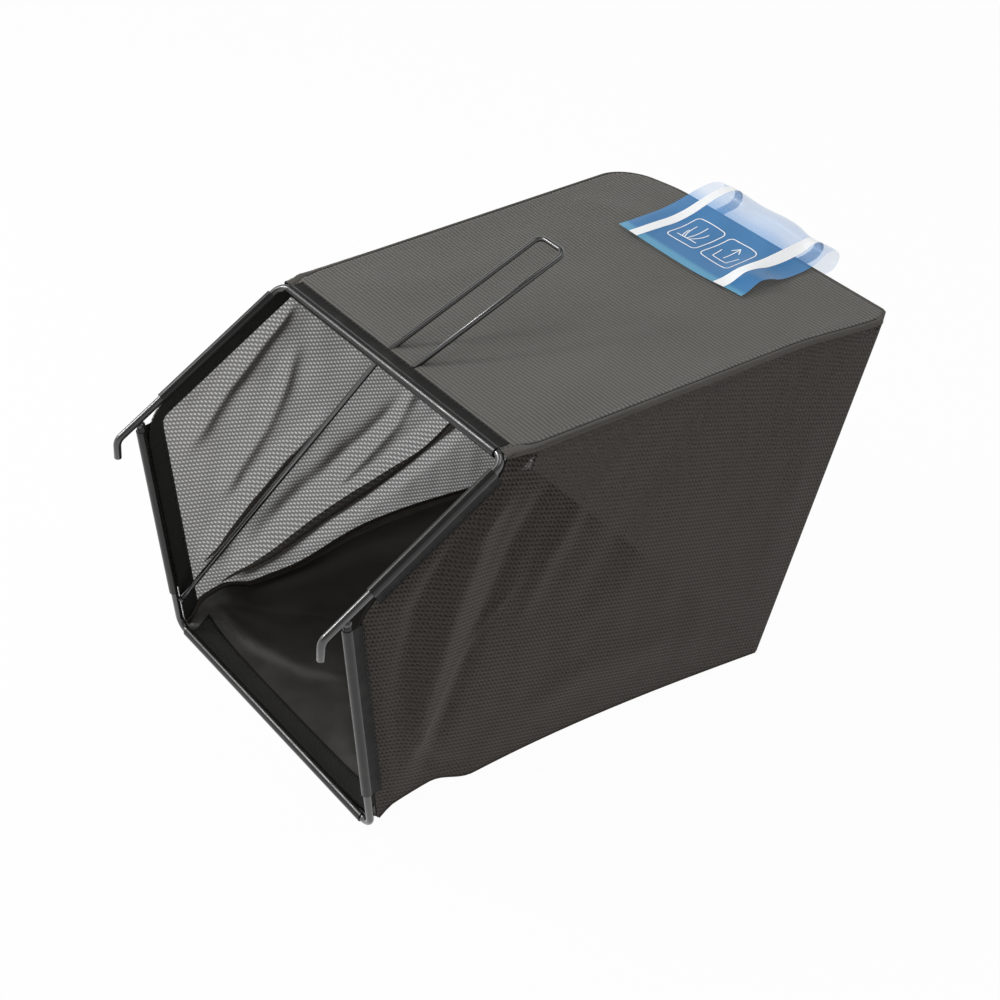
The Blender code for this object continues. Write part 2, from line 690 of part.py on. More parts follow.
def build():
    clear_scene()
    parts = new_collection("grass_box")
    cutters = new_collection("cutters")
    paint = new_material("black_wire_paint", (0.012, 0.012, 0.012), 0.35)
    plastic = new_material("black_clip_plastic", (0.015, 0.015, 0.014), 0.38)
    top_fabric = new_material("grey_top_fabric", (0.095, 0.090, 0.080), 0.8)
    side_mesh = new_material("dark_side_mesh", (0.045, 0.040, 0.035), 0.8)
    floor_fabric = new_material("black_coated_floor", (0.012, 0.012, 0.012), 0.45)
    tape = new_material("black_seam_tape", (0.020, 0.019, 0.018), 0.85)
    film = new_material("blue_film", (0.050, 0.180, 0.450), 0.25, alpha=0.85)
    clearance = build_wires(parts, cutters, paint)
    build_welds(parts, clearance, paint)
    build_clips(parts, clearance["handle_brace_wire"], plastic)
    build_panels(parts, clearance["handle_brace_wire"], top_fabric, side_mesh, floor_fabric)
    build_hems(parts, clearance["handle_brace_wire"], tape)
    build_bindings(parts, tape)
    build_flap(parts, film)


build()
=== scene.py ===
"""Looks of the grass box: smooth wires and clips, sewn fabric walls, see-through mesh and the film flap."""
import math

import bmesh
import bpy
from mathutils import Matrix, Vector, noise


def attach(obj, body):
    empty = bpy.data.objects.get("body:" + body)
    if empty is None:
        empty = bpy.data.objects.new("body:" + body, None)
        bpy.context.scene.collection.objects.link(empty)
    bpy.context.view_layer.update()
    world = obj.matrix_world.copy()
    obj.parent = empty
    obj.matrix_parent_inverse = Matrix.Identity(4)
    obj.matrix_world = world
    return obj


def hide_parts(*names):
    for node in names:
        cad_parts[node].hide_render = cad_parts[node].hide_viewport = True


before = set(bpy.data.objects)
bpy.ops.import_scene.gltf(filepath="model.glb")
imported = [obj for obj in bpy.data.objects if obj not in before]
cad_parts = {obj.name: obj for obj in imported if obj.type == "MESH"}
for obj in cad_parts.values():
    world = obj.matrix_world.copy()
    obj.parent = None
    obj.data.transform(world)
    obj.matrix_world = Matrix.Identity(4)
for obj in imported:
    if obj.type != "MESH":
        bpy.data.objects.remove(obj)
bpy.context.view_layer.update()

# Sizes that the part's source also has, in metres
FRAME_HALF_WIDTH = 0.160
FRAME_WIRE = 0.0035
THIN_WIRE = 0.0025
GAP = 0.0003
CLIP_WALL = 0.0010
CLIP_INNER = FRAME_WIRE + GAP
CLIP_OUTER = CLIP_INNER + CLIP_WALL
FLANGE_END = CLIP_OUTER + 0.0080
FABRIC_START = CLIP_OUTER + 0.0007
BAR = CLIP_OUTER
TOP_BAR = Vector((0, 0.1142, BAR + 0.3436))
BOTTOM_CORNER = Vector((FRAME_HALF_WIDTH, 0, BAR))
SHOULDER = Vector((FRAME_HALF_WIDTH, -0.0343, BAR + 0.2504))
TOP_CORNER = Vector((FRAME_HALF_WIDTH, TOP_BAR.y, TOP_BAR.z))
LEG_WAY = (SHOULDER - BOTTOM_CORNER).normalized()
HOOK_WAY = (TOP_CORNER - SHOULDER).normalized()
HANDLE_ROOT = Vector((-0.017, TOP_BAR.y, TOP_BAR.z))
HANDLE_BEND = HANDLE_ROOT + Vector((0, 0.0067, -0.0005))
HANDLE_END = HANDLE_ROOT + Vector((0, 0.172, 0.068))
MOUTH_HALF_WIDTH = FRAME_HALF_WIDTH + FRAME_WIRE
TOP_FRONT = TOP_BAR.y + FABRIC_START
TOP_FRONT_HEIGHT = TOP_BAR.z + FRAME_WIRE
TOP_FLANGE_END = TOP_BAR.y + FLANGE_END
BOTTOM_FRONT_HEIGHT = BAR - FRAME_WIRE
HOOK_REACH = 0.0263
HOOK_DROP = 0.018
HOOK_BEND_RADIUS = 0.010
FRAME_BEND_RADIUS = 0.012
BRACE_FOOT_RISE = 0.026
BRACE_BEND_RADIUS = 0.006
HANDLE_CORNER_RADIUS = 0.008
HOOP_FRONT_HALF_WIDTH = 0.148
HOOP_INSET = 0.009
HOOP_DROP = 0.0049
HOOP_CORNER_RADIUS = 0.025
TOP_CLIP_HALF_LENGTH = 0.148
BOTTOM_CLIP_HALF_LENGTH = 0.147
UPPER_CLIP_FROM_TOP = 0.014
UPPER_CLIP_TO_SHOULDER = 0.027
LOWER_CLIP_TO_SHOULDER = 0.012
LOWER_CLIP_FROM_BOTTOM = 0.044
CLIP_LIP_ANGLE = math.radians(280)
HEM_WIDTH = 0.018
BINDING_RADIUS = 0.0015
# Pairs are values at the bottom and at the top of the rear
REAR_BACK = (0.4541, 0.5366)
REAR_HALF_WIDTH = (0.180, 0.1742)
REAR_CORNER = (0.010, 0.035)
REAR_TOP = 0.3572
REAR_SLOPE = (REAR_BACK[1] - REAR_BACK[0]) / REAR_TOP
SIDE_BULGE = 0.005
REAR_BULGE = 0.004
TOP_SAG = 0.004
BOTTOM_EDGE_ARCH = 0.019
BOTTOM_MIDDLE_ARCH = 0.006
ARCH_SKEW = 0.75
FLAP_HALF_WIDTH = 0.081

# Sizes that only the looks have
RIGHT_REAR_HALF_WIDTH = (0.180, 0.1797)
RIGHT_REAR_CORNER = (0.005, 0.006)
REAR_BOW = 0.013
RIGHT_DENT = 0.0092
CORNER_PINCH = 0.0034
CORNER_REACH = 0.0042
HEM_SHOULDER_RADIUS = 0.046
HEM_RISE = 0.0045
HEM_DEPTH = 0.0014
TAPE = 0.0009
ROLL = 0.0028
ROLL_DROP = 0.0012
ROLL_DROP_STEPS = 3
ROLL_STEPS = 6
PANEL_COLUMNS = 58
GROOVE_HALF_WIDTH = 0.0005
GROOVE_DEPTH = 0.0010
CLOTH = 0.0009
FILM_LENGTH = 0.215
STRIPE_LENGTH = 0.213
PRINT_STEP = 0.0018
PRINT_LIFT = 0.00016
THREAD = 0.00035
STITCH_PITCH = 0.0042
SIDES = ((1, "right"), (-1, "left"))

# The camera as fitted to the photo
CAMERA_LENS = 64.889
CAMERA_PLACE = Vector((1.024865, -0.655474, 1.156517))
CAMERA_RIGHT = Vector((0.61817571, 0.78220773, 0.07752323))
CAMERA_UP = Vector((-0.50347565, 0.31828643, 0.80324717))


# Small helpers

def lerp(low, high, share):
    return low + (high - low) * share


def clamp(share):
    return min(max(share, 0.0), 1.0)


def spread(first, last, steps):
    return [lerp(first, last, step / steps) for step in range(steps + 1)]


def ease(low, high, value):
    share = clamp((value - low) / (high - low))
    return share * share * (3 - 2 * share)


def mirrored(point):
    return Vector((-point.x, point.y, point.z))


def rounded_path(corners, radii, steps=14):
    points = [corners[0].copy()]
    for before, corner, after, radius in zip(corners, corners[1:], corners[2:], radii):
        back = (before - corner).normalized()
        ahead = (after - corner).normalized()
        half = back.angle(ahead) / 2
        sweep = math.pi - 2 * half
        centre = corner + (back + ahead).normalized() * (radius / math.sin(half))
        start = corner + back * (radius / math.tan(half)) - centre
        end = corner + ahead * (radius / math.tan(half)) - centre
        for step in range(steps + 1):
            turn = sweep * step / steps
            points.append(centre + (start * math.sin(sweep - turn) + end * math.sin(turn)) / math.sin(sweep))
    points.append(corners[-1].copy())
    return points


def resampled(points, count):
    """The same line with points at equal distances."""
    lengths = [0.0]
    for start, end in zip(points, points[1:]):
        lengths.append(lengths[-1] + (end - start).length)
    made, at = [], 0
    for step in range(count):
        goal = lengths[-1] * step / (count - 1)
        while at < len(lengths) - 2 and lengths[at + 1] < goal:
            at += 1
        share = clamp((goal - lengths[at]) / max(lengths[at + 1] - lengths[at], 1e-9))
        made.append(points[at].lerp(points[at + 1], share))
    return made


def finish_mesh(name, mesh, material, nodes=(), sharp=None):
    mesh.materials.append(material)
    mesh.shade_smooth()
    if sharp:
        mesh.set_sharp_from_angle(angle=math.radians(sharp))
    obj = bpy.data.objects.new(name, mesh)
    bpy.context.scene.collection.objects.link(obj)
    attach(obj, "root")
    if nodes:
        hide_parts(*nodes)
    return obj


def written(name, made):
    """The mesh that a bmesh holds."""
    mesh = bpy.data.meshes.new(name)
    made.to_mesh(mesh)
    made.free()
    return mesh


def skin(made, rings):
    """Faces through rings of points, with both ends filled."""
    lines = [[made.verts.new(point) for point in ring] for ring in rings]
    for low, high in zip(lines, lines[1:]):
        for corners in zip(low, low[1:] + low[:1], high[1:] + high[:1], high):
            made.faces.new(corners)
    made.faces.new(lines[0][::-1])
    made.faces.new(lines[-1])


def rings_to_mesh(name, rings):
    made = bmesh.new()
    skin(made, rings)
    bmesh.ops.recalc_face_normals(made, faces=made.faces)
    return written(name, made)


def tube_rings(points, radius, sides, dome=0.0):
    """Rings round a line; a dome rounds off its ends."""
    ways = []
    for at in range(len(points)):
        low, high = points[max(at - 1, 0)], points[min(at + 1, len(points) - 1)]
        ways.append((high - low).normalized())
    across = ways[0].orthogonal().normalized()
    spots = [(point, way, radius) for point, way in zip(points, ways)]
    if dome:
        steps, tip = 4, 0.08
        start, end = [], []
        for step in range(steps):
            turn = math.pi / 2 * step / steps
            reach, size = dome * math.cos(turn), radius * math.sin(turn + tip)
            start.append((points[0] - ways[0] * reach, ways[0], size))
            end.append((points[-1] + ways[-1] * reach, ways[-1], size))
        spots = start + spots + end[::-1]
    rings = []
    for point, way, size in spots:
        across = (across - way * across.dot(way)).normalized()
        beside = way.cross(across)
        turns = [2 * math.pi * side / sides for side in range(sides)]
        rings.append([point + (across * math.cos(t) + beside * math.sin(t)) * size for t in turns])
    return rings


def tube(name, points, radius, material, nodes=(), sides=20, dome=0.0):
    mesh = rings_to_mesh(name, tube_rings(points, radius, sides, dome))
    return finish_mesh(name, mesh, material, nodes)


def grid(name, rows, material, nodes=(), uv_rows=None, thickness=0.0, weld=False, border=None):
    """A cloth surface through rows of points, with its own flat coordinates in metres.

    A border is another material and how many of the first columns have it.
    """
    made = bmesh.new()
    flat = made.loops.layers.uv.new("cloth")
    lines = [[made.verts.new(point) for point in row] for row in rows]
    for at, (low, high) in enumerate(zip(lines, lines[1:])):
        for column in range(len(low) - 1):
            corners = (low[column], low[column + 1], high[column + 1], high[column])
            face = made.faces.new(corners)
            face.material_index = 1 if border and column < border[1] else 0
            if uv_rows:
                places = ((at, column), (at, column + 1), (at + 1, column + 1), (at + 1, column))
                for loop, (row, spot) in zip(face.loops, places):
                    loop[flat].uv = uv_rows[row][spot]
    if weld:
        bmesh.ops.remove_doubles(made, verts=made.verts, dist=1e-5)
        bmesh.ops.recalc_face_normals(made, faces=made.faces)
    mesh = written(name, made)
    obj = finish_mesh(name, mesh, material, nodes)
    if border:
        mesh.materials.append(border[0])
    if thickness:
        solid = obj.modifiers.new("thickness", "SOLIDIFY")
        solid.thickness = thickness
        solid.offset = -1
    return obj


def threads(name, lines, material, radius=THREAD):
    """Short round threads, each along its own line of points."""
    made = bmesh.new()
    for points in lines:
        skin(made, tube_rings(points, radius, 6))
    return finish_mesh(name, written(name, made), material)


def stitches(name, line, out, material, pitch=STITCH_PITCH, share=0.62, lift=0.0003):
    """Sewing along a line: short threads that bow out of the cloth and dive back into it."""
    count = max(int(sum((b - a).length for a, b in zip(line, line[1:])) / pitch), 1)
    spots = resampled(line, count + 1)
    lines = []
    for start, end in zip(spots, spots[1:]):
        points = []
        for step in range(6):
            along = step / 5
            rise = math.sin(math.pi * along) * (THREAD + lift) - THREAD * 0.9
            points.append(start.lerp(end, (1 - share) / 2 + share * along) + out * rise)
        lines.append(points)
    return threads(name, lines, material)


# Material helpers

def new_material(name):
    material = bpy.data.materials.new(name)
    material.use_nodes = True
    return material, material.node_tree, material.node_tree.nodes["Principled BSDF"]


def feed(tree, value, socket):
    if isinstance(value, bpy.types.NodeSocket):
        tree.links.new(value, socket)
    else:
        socket.default_value = value


def maths(tree, operation, *values):
    made = tree.nodes.new("ShaderNodeMath")
    made.operation = operation
    for value, socket in zip(values, made.inputs):
        feed(tree, value, socket)
    return made.outputs[0]


def waves(*per_metre):
    return [2 * math.pi * count for count in per_metre]


def dotted(tree, vector, weights):
    made = tree.nodes.new("ShaderNodeVectorMath")
    made.operation = "DOT_PRODUCT"
    feed(tree, vector, made.inputs[0])
    made.inputs[1].default_value = weights
    return made.outputs["Value"]


def ramped(tree, value, low, high, out_low=0.0, out_high=1.0):
    made = tree.nodes.new("ShaderNodeMapRange")
    made.interpolation_type = "SMOOTHSTEP"
    feed(tree, value, made.inputs["Value"])
    for name, number in (("From Min", low), ("From Max", high), ("To Min", out_low), ("To Max", out_high)):
        made.inputs[name].default_value = number
    return made.outputs["Result"]


def mixed(tree, factor, first, second):
    made = tree.nodes.new("ShaderNodeMix")
    made.data_type = "RGBA"
    feed(tree, factor, made.inputs[0])
    for value, socket in ((first, made.inputs[6]), (second, made.inputs[7])):
        feed(tree, value if isinstance(value, bpy.types.NodeSocket) else (*value, 1.0), socket)
    return made.outputs[2]


def clouds(tree, place, scale, detail=2.0, stretch=None):
    made = tree.nodes.new("ShaderNodeTexNoise")
    if stretch:
        scaled = tree.nodes.new("ShaderNodeVectorMath")
        scaled.operation = "MULTIPLY"
        feed(tree, place, scaled.inputs[0])
        scaled.inputs[1].default_value = stretch
        place = scaled.outputs[0]
    feed(tree, place, made.inputs["Vector"])
    made.inputs["Scale"].default_value = scale
    made.inputs["Detail"].default_value = detail
    return made.outputs["Fac"]


def place_in(tree, cloth=False):
    if cloth:
        made = tree.nodes.new("ShaderNodeUVMap")
        made.uv_map = "cloth"
        return made.outputs[0]
    return tree.nodes.new("ShaderNodeTexCoord").outputs["Object"]


def dress(tree, shader, colour, roughness, height, depth, more=(), strength=1.0):
    """Feeds a shader its colour, roughness and bump, and more of its inputs by name."""
    for name, value in (("Base Color", colour), ("Roughness", roughness), *more):
        feed(tree, value, shader.inputs[name])
    made = tree.nodes.new("ShaderNodeBump")
    made.inputs["Strength"].default_value = strength
    made.inputs["Distance"].default_value = depth
    feed(tree, height, made.inputs["Height"])
    tree.links.new(made.outputs[0], shader.inputs["Normal"])


def blended(tree, factor, first, second):
    """Mixes two shaders and sends them to the surface."""
    made = tree.nodes.new("ShaderNodeMixShader")
    feed(tree, factor, made.inputs[0])
    tree.links.new(first.outputs[0], made.inputs[1])
    tree.links.new(second.outputs[0], made.inputs[2])
    tree.links.new(made.outputs[0], tree.nodes["Material Output"].inputs["Surface"])


# Materials

def wire_paint():
    material, tree, shader = new_material("satin_wire_paint")
    place = place_in(tree)
    worn = ramped(tree, clouds(tree, place, 90, 4), 0.60, 0.74)
    colour = mixed(tree, worn, (0.0105, 0.0100, 0.0095), (0.030, 0.027, 0.024))
    roughness = ramped(tree, clouds(tree, place, 60, 3), 0.3, 0.7, 0.17, 0.30)
    shine = (("Specular IOR Level", 1.0), ("Coat Weight", 0.5), ("Coat Roughness", 0.10))
    dress(tree, shader, colour, roughness, clouds(tree, place, 900, 2), 0.000006, shine)
    return material


def clip_plastic(name, roughness, shine):
    material, tree, shader = new_material(name)
    place = place_in(tree)
    # Paler dusty patches on the plastic.
    paler_share = ramped(tree, clouds(tree, place, 55, 5), 0.52, 0.75)
    colour = mixed(tree, paler_share, (0.0080, 0.0080, 0.0074), (0.017, 0.016, 0.0145))
    worn = ramped(tree, clouds(tree, place, 80, 3), 0.3, 0.7, roughness, roughness + 0.12)
    streak = clouds(tree, place, 300, 2)
    dress(tree, shader, colour, worn, streak, 0.00001, [("Specular IOR Level", shine)])
    return material


def weave_fields(tree, place, jitter):
    """Rows and slanted threads of the mesh cloth, as waves from -1 to 1."""
    wobble = maths(tree, "MULTIPLY", clouds(tree, place, 12, 2), jitter)
    rows = maths(tree, "ADD", dotted(tree, place, waves(70, 232, 0)), wobble)
    slants = maths(tree, "ADD", dotted(tree, place, waves(300, 166, 0)), wobble)
    return maths(tree, "MULTIPLY", maths(tree, "COSINE", rows), 1.1), maths(tree, "COSINE", slants)


def mesh_cloth(name, widest, narrowest, glow):
    """Knitted mesh; its holes look narrower where the cloth is seen from the side."""
    material, tree, shader = new_material(name)
    place = place_in(tree, cloth=True)
    rows, slants = weave_fields(tree, place, 2.0)
    field = maths(tree, "ADD", rows, slants)
    hole = ramped(tree, field, -0.05, 1.65)
    facing = tree.nodes.new("ShaderNodeLayerWeight").outputs["Facing"]
    gap = maths(tree, "ADD", maths(tree, "MULTIPLY", hole, 0.68), 0.28)
    opening = maths(tree, "MULTIPLY", gap, ramped(tree, facing, 0.26, 0.53, widest, narrowest))
    fibre = clouds(tree, place, 2600, 2, (0.35, 1.0, 1.0))
    tone = clouds(tree, place, 14, 3)
    dark = mixed(tree, tone, (0.031, 0.0252, 0.0196), (0.046, 0.0380, 0.0300))
    # Painted highlight: lighter fibre spots on the threads.
    thread = mixed(tree, ramped(tree, fibre, 0.35, 0.75), dark, (0.075, 0.0625, 0.0505))
    # Painted shade: the threads darken towards the holes, where shade falls between them.
    cloth = mixed(tree, ramped(tree, field, 0.2, 1.7), thread, (0.021, 0.018, 0.015))
    height = maths(tree, "SUBTRACT", maths(tree, "MULTIPLY", fibre, 0.25), field)
    solid = maths(tree, "SUBTRACT", 1.0, opening)
    more = (("Alpha", solid), ("Specular IOR Level", 0.3), ("Sheen Weight", 0.10))
    dress(tree, shader, cloth, 0.75, height, 0.00020, more)
    through = tree.nodes.new("ShaderNodeBsdfTranslucent")
    through.inputs["Color"].default_value = (0.30, 0.27, 0.23, 1.0)
    blended(tree, glow, shader, through)
    return material


def ribbed_cloth():
    material, tree, shader = new_material("ribbed_top_cloth")
    place = place_in(tree)
    wobble = maths(tree, "MULTIPLY", clouds(tree, place, 22, 2), 3.0)
    rib = maths(tree, "COSINE", maths(tree, "ADD", dotted(tree, place, waves(0, 262, 0)), wobble))
    cross = maths(tree, "COSINE", dotted(tree, place, waves(420, 131, 0)))
    fibre = clouds(tree, place, 2400, 2, (1.0, 0.4, 1.0))
    tone = clouds(tree, place, 9, 3)
    base = mixed(tree, tone, (0.098, 0.096, 0.086), (0.132, 0.129, 0.117))
    # Painted highlight: lit is a lighter copy of the cloth colour on the fibres.
    lit = mixed(tree, ramped(tree, fibre, 0.3, 0.75), base, (0.160, 0.155, 0.142))
    relief = maths(tree, "ADD", maths(tree, "MULTIPLY", rib, 0.75), maths(tree, "MULTIPLY", cross, 0.25))
    # Painted shade in the rib valleys: darker where the relief is low.
    colour = mixed(tree, ramped(tree, relief, -1.0, 0.4), (0.060, 0.058, 0.051), lit)
    height = maths(tree, "ADD", relief, maths(tree, "MULTIPLY", fibre, 0.3))
    dress(tree, shader, colour, 0.78, height, 0.00020, (("Specular IOR Level", 0.3), ("Sheen Weight", 0.12)))
    return material


def coated_cloth():
    material, tree, shader = new_material("coated_floor_cloth")
    place = place_in(tree)
    warp = maths(tree, "SINE", dotted(tree, place, waves(900, 0, 0)))
    weft = maths(tree, "SINE", dotted(tree, place, waves(0, 900, 0)))
    weave = maths(tree, "MULTIPLY", warp, weft)
    soft = clouds(tree, place, 35, 4)
    front_floor_colour = mixed(tree, soft, (0.030, 0.0290, 0.0255), (0.046, 0.0440, 0.040))
    # Painted light: towards the rear the floor cloth turns paler. This stands in for light that comes in
    # through the mesh walls and lights the inside.
    painted_light_floor_colour = mixed(tree, soft, (0.095, 0.0910, 0.0780), (0.135, 0.1300, 0.112))
    paler_share = ramped(tree, dotted(tree, place, (0, 1, 0)), 0.10, 0.34)
    height = maths(tree, "ADD", maths(tree, "MULTIPLY", weave, 0.2), soft)
    roughness = ramped(tree, soft, 0.3, 0.7, 0.34, 0.50)
    dress(tree, shader, mixed(tree, paler_share, front_floor_colour, painted_light_floor_colour), roughness, height, 0.00008)
    return material


def tape_cloth(name, dark, light, fluff):
    material, tree, shader = new_material(name)
    place = place_in(tree)
    twill = maths(tree, "SINE", dotted(tree, place, waves(500, 620, 620)))
    fibre = clouds(tree, place, 1900, 2)
    tone = mixed(tree, clouds(tree, place, 40, 3), dark, light)
    colour = mixed(tree, ramped(tree, fibre, 0.45, 0.8), tone, fluff)
    height = maths(tree, "ADD", maths(tree, "MULTIPLY", twill, 0.5), fibre)
    dress(tree, shader, colour, 0.8, height, 0.00012, [("Specular IOR Level", 0.3)])
    return material


def sewing_thread(name, dark, light):
    material, tree, shader = new_material(name)
    place = place_in(tree)
    twist = maths(tree, "SINE", dotted(tree, place, waves(1600, 1600, 1600)))
    # Painted shade and highlight: the colour follows the twist, darker in its grooves and lighter on its
    # ridges.
    dress(tree, shader, mixed(tree, ramped(tree, twist, -1, 1), dark, light), 0.6, twist, 0.00006)
    return material


def blue_film():
    material, tree, shader = new_material("translucent_blue_film")
    place = place_in(tree)
    soft = clouds(tree, place, 24, 3)
    blue = mixed(tree, soft, (0.076, 0.335, 0.740), (0.108, 0.395, 0.840))
    # Painted highlight: the film turns bright blue along its front edge, where light catches the cut edge.
    edge_highlight_share = ramped(tree, dotted(tree, place, (0, 1, 0)), 0.457, 0.450)
    colour = mixed(tree, edge_highlight_share, blue, (0.200, 0.640, 1.000))
    roughness = ramped(tree, clouds(tree, place, 45, 3), 0.3, 0.7, 0.14, 0.26)
    solid = ramped(tree, dotted(tree, place, (0, 1, 0)), 0.532, 0.552, 0.56, 0.26)
    dress(tree, shader, colour, roughness, soft, 0.0010, [("Alpha", solid)], 0.6)
    return material


def white_print():
    material, tree, shader = new_material("white_print")
    place = place_in(tree)
    thin = ramped(tree, clouds(tree, place, 420, 3), 0.30, 0.62)
    dress(tree, shader, mixed(tree, thin, (1.0, 1.0, 1.0), (0.96, 0.98, 1.0)), 0.35, thin, 0.00003)
    return material


# Outer faces of the bag

def at_height(pair, height):
    return lerp(*pair, height / REAR_TOP)


def rear_half_width(side, height):
    return at_height(RIGHT_REAR_HALF_WIDTH if side > 0 else REAR_HALF_WIDTH, height)


def corner_radius(side, height):
    return at_height(RIGHT_REAR_CORNER if side > 0 else REAR_CORNER, height)


def corner_start(side, height):
    return at_height(REAR_BACK, height) - corner_radius(side, height)


def rear_bow(x, height):
    """How far the hoop pushes the top of the rear out, less towards the sagging left corner."""
    shape = ease(0.1785, 0.1665, x) if x > 0 else ease(-REAR_HALF_WIDTH[1], -0.095, x)
    return REAR_BOW * shape * clamp(height / REAR_TOP) ** 2


def into_bag(way):
    return Vector((0, way.z, -way.y))


def flange_back(height):
    lines = []
    for point, way in ((BOTTOM_CORNER, LEG_WAY), (TOP_CORNER, HOOK_WAY)):
        edge = point + into_bag(way) * FLANGE_END
        lines.append(edge.y + way.y * (height - edge.z) / way.z)
    return max(lines)


def side_x(side, y, height):
    start = corner_start(side, height)
    front = flange_back(height)
    share = clamp((y - front) / (start - front))
    bulge = SIDE_BULGE * math.sin(math.pi * share) * math.sin(math.pi * clamp(height / REAR_TOP))
    x = lerp(MOUTH_HALF_WIDTH, rear_half_width(side, height), share) + bulge
    if side > 0:
        x -= RIGHT_DENT * clamp(height / REAR_TOP) * share * ease(0.99, 0.72, share)
    far = math.hypot(y - TOP_FRONT, min(height, top_edge_height(y)) - TOP_FRONT_HEIGHT)
    x -= CORNER_PINCH * ease(0.015, 0.004, far)
    if y > start:
        radius = corner_radius(side, height)
        x -= radius - math.sqrt(max(radius ** 2 - (y - start) ** 2, 0.0))
    return x


def top_edge_height(y):
    share = clamp((y - TOP_FLANGE_END) / (REAR_BACK[1] - TOP_FLANGE_END))
    return lerp(TOP_FRONT_HEIGHT, REAR_TOP, share)


def edge_pull(side, y):
    """The lower edge is pulled up behind the mouth frame; on the left it then hangs lower."""
    if side > 0:
        return 0.020 * ease(-0.012, 0.018, y) * ease(0.105, 0.055, y)
    hang = 0.009 * math.exp(-((y - 0.14) / 0.05) ** 2)
    return 0.018 * ease(0.006, 0.026, y) * ease(0.090, 0.045, y) - hang


def bottom_height(side, side_share, y):
    share = clamp((y - FABRIC_START) / (REAR_BACK[0] - FABRIC_START))
    arch = clamp((y - FLANGE_END) / (REAR_BACK[0] - FLANGE_END))
    rise = math.sin(math.pi * arch ** ARCH_SKEW) * lerp(BOTTOM_MIDDLE_ARCH, BOTTOM_EDGE_ARCH, side_share ** 2)
    return max(lerp(BOTTOM_FRONT_HEIGHT, 0.0, share) + rise + edge_pull(side, y) * side_share ** 6, 0.0)


def mouth_edge(leg_inset, hook_inset, top_limit, bottom_limit, radius):
    leg_in, hook_in = into_bag(LEG_WAY), into_bag(HOOK_WAY)
    across = (hook_inset - leg_inset * leg_in.dot(hook_in)) / LEG_WAY.dot(hook_in)
    corner = SHOULDER + leg_in * leg_inset + LEG_WAY * across
    low = corner + LEG_WAY * ((bottom_limit - corner.z) / LEG_WAY.z)
    high = corner + HOOK_WAY * ((top_limit - corner.z) / HOOK_WAY.z)
    return rounded_path([low, corner, high], [radius])


def ridge_height(u, v, ridges):
    """Height that soft ridges add at a place; each is a line of points, a width and a height."""
    total = 0.0
    for line, width, height in ridges:
        best, share = 1e9, 0.0
        count = len(line) - 1
        for at in range(count):
            (u0, v0), (u1, v1) = line[at], line[at + 1]
            run = (u1 - u0) ** 2 + (v1 - v0) ** 2
            along = clamp(((u - u0) * (u1 - u0) + (v - v0) * (v1 - v0)) / run)
            far = math.hypot(u - lerp(u0, u1, along), v - lerp(v0, v1, along))
            if far < best:
                best, share = far, (at + along) / count
        if best < 3.2 * width:
            fade = ease(-0.02, 0.22, share) * ease(1.02, 0.78, share)
            total += height * math.exp(-(best / width) ** 2) * fade
    return total


RIGHT_RIDGES = [
    ([(0.126, 0.345), (0.092, 0.3), (0.07, 0.24), (0.052, 0.17), (0.034, 0.09), (0.022, 0.03)],
     0.017, 0.006),
    ([(0.1, 0.335), (0.062, 0.29), (0.03, 0.24), (0.018, 0.18), (0.014, 0.11)], 0.009, -0.0022),
    ([(0.17, 0.33), (0.124, 0.265), (0.096, 0.2), (0.07, 0.12), (0.052, 0.06)], 0.01, -0.0024),
    ([(0.135, 0.228), (0.108, 0.205), (0.074, 0.165), (0.046, 0.105), (0.026, 0.05)], 0.0035, 0.0012),
    ([(0.29, 0.35), (0.25, 0.33), (0.2, 0.29), (0.16, 0.235), (0.12, 0.15)], 0.012, 0.0016),
    ([(0.33, 0.34), (0.29, 0.3), (0.24, 0.23), (0.2, 0.15)], 0.018, -0.0016),
    ([(0.016, 0.11), (0.03, 0.085), (0.06, 0.05), (0.11, 0.028)], 0.006, -0.002),
    ([(0.14, 0.06), (0.22, 0.085), (0.32, 0.075), (0.42, 0.04)], 0.02, 0.0016),
    ([(0.42, 0.33), (0.47, 0.24), (0.45, 0.14), (0.44, 0.06)], 0.02, 0.0012),
]
LEFT_RIDGES = [
    ([(0.128, 0.335), (0.112, 0.308), (0.076, 0.27), (0.04, 0.232), (0.01, 0.195)], 0.01, -0.0034),
    ([(0.136, 0.281), (0.122, 0.231), (0.101, 0.193), (0.07, 0.159), (0.05, 0.13)], 0.009, -0.0024),
    ([(0.18, 0.18), (0.124, 0.152), (0.086, 0.122), (0.05, 0.088), (0.026, 0.062)], 0.01, -0.006),
    ([(0.3, 0.17), (0.22, 0.13), (0.15, 0.1), (0.08, 0.062)], 0.014, 0.003),
    ([(0.36, 0.128), (0.3, 0.104), (0.241, 0.081), (0.174, 0.066), (0.104, 0.046), (0.038, 0.03)],
     0.0095, -0.009),
    ([(0.36, 0.105), (0.29, 0.078), (0.21, 0.052), (0.13, 0.034)], 0.008, 0.0034),
    ([(0.3, 0.19), (0.257, 0.137), (0.209, 0.106), (0.174, 0.083)], 0.01, -0.003),
    ([(0.4, 0.32), (0.34, 0.27), (0.28, 0.23)], 0.02, 0.003),
]
PLEATS = [
    ("low", [(0.335, 0.119), (0.29, 0.096), (0.241, 0.081), (0.174, 0.066), (0.104, 0.046), (0.048, 0.032)],
     0.0062),
    ("brace", [(0.176, 0.176), (0.134, 0.15), (0.086, 0.117), (0.05, 0.086), (0.03, 0.066)], 0.004),
]
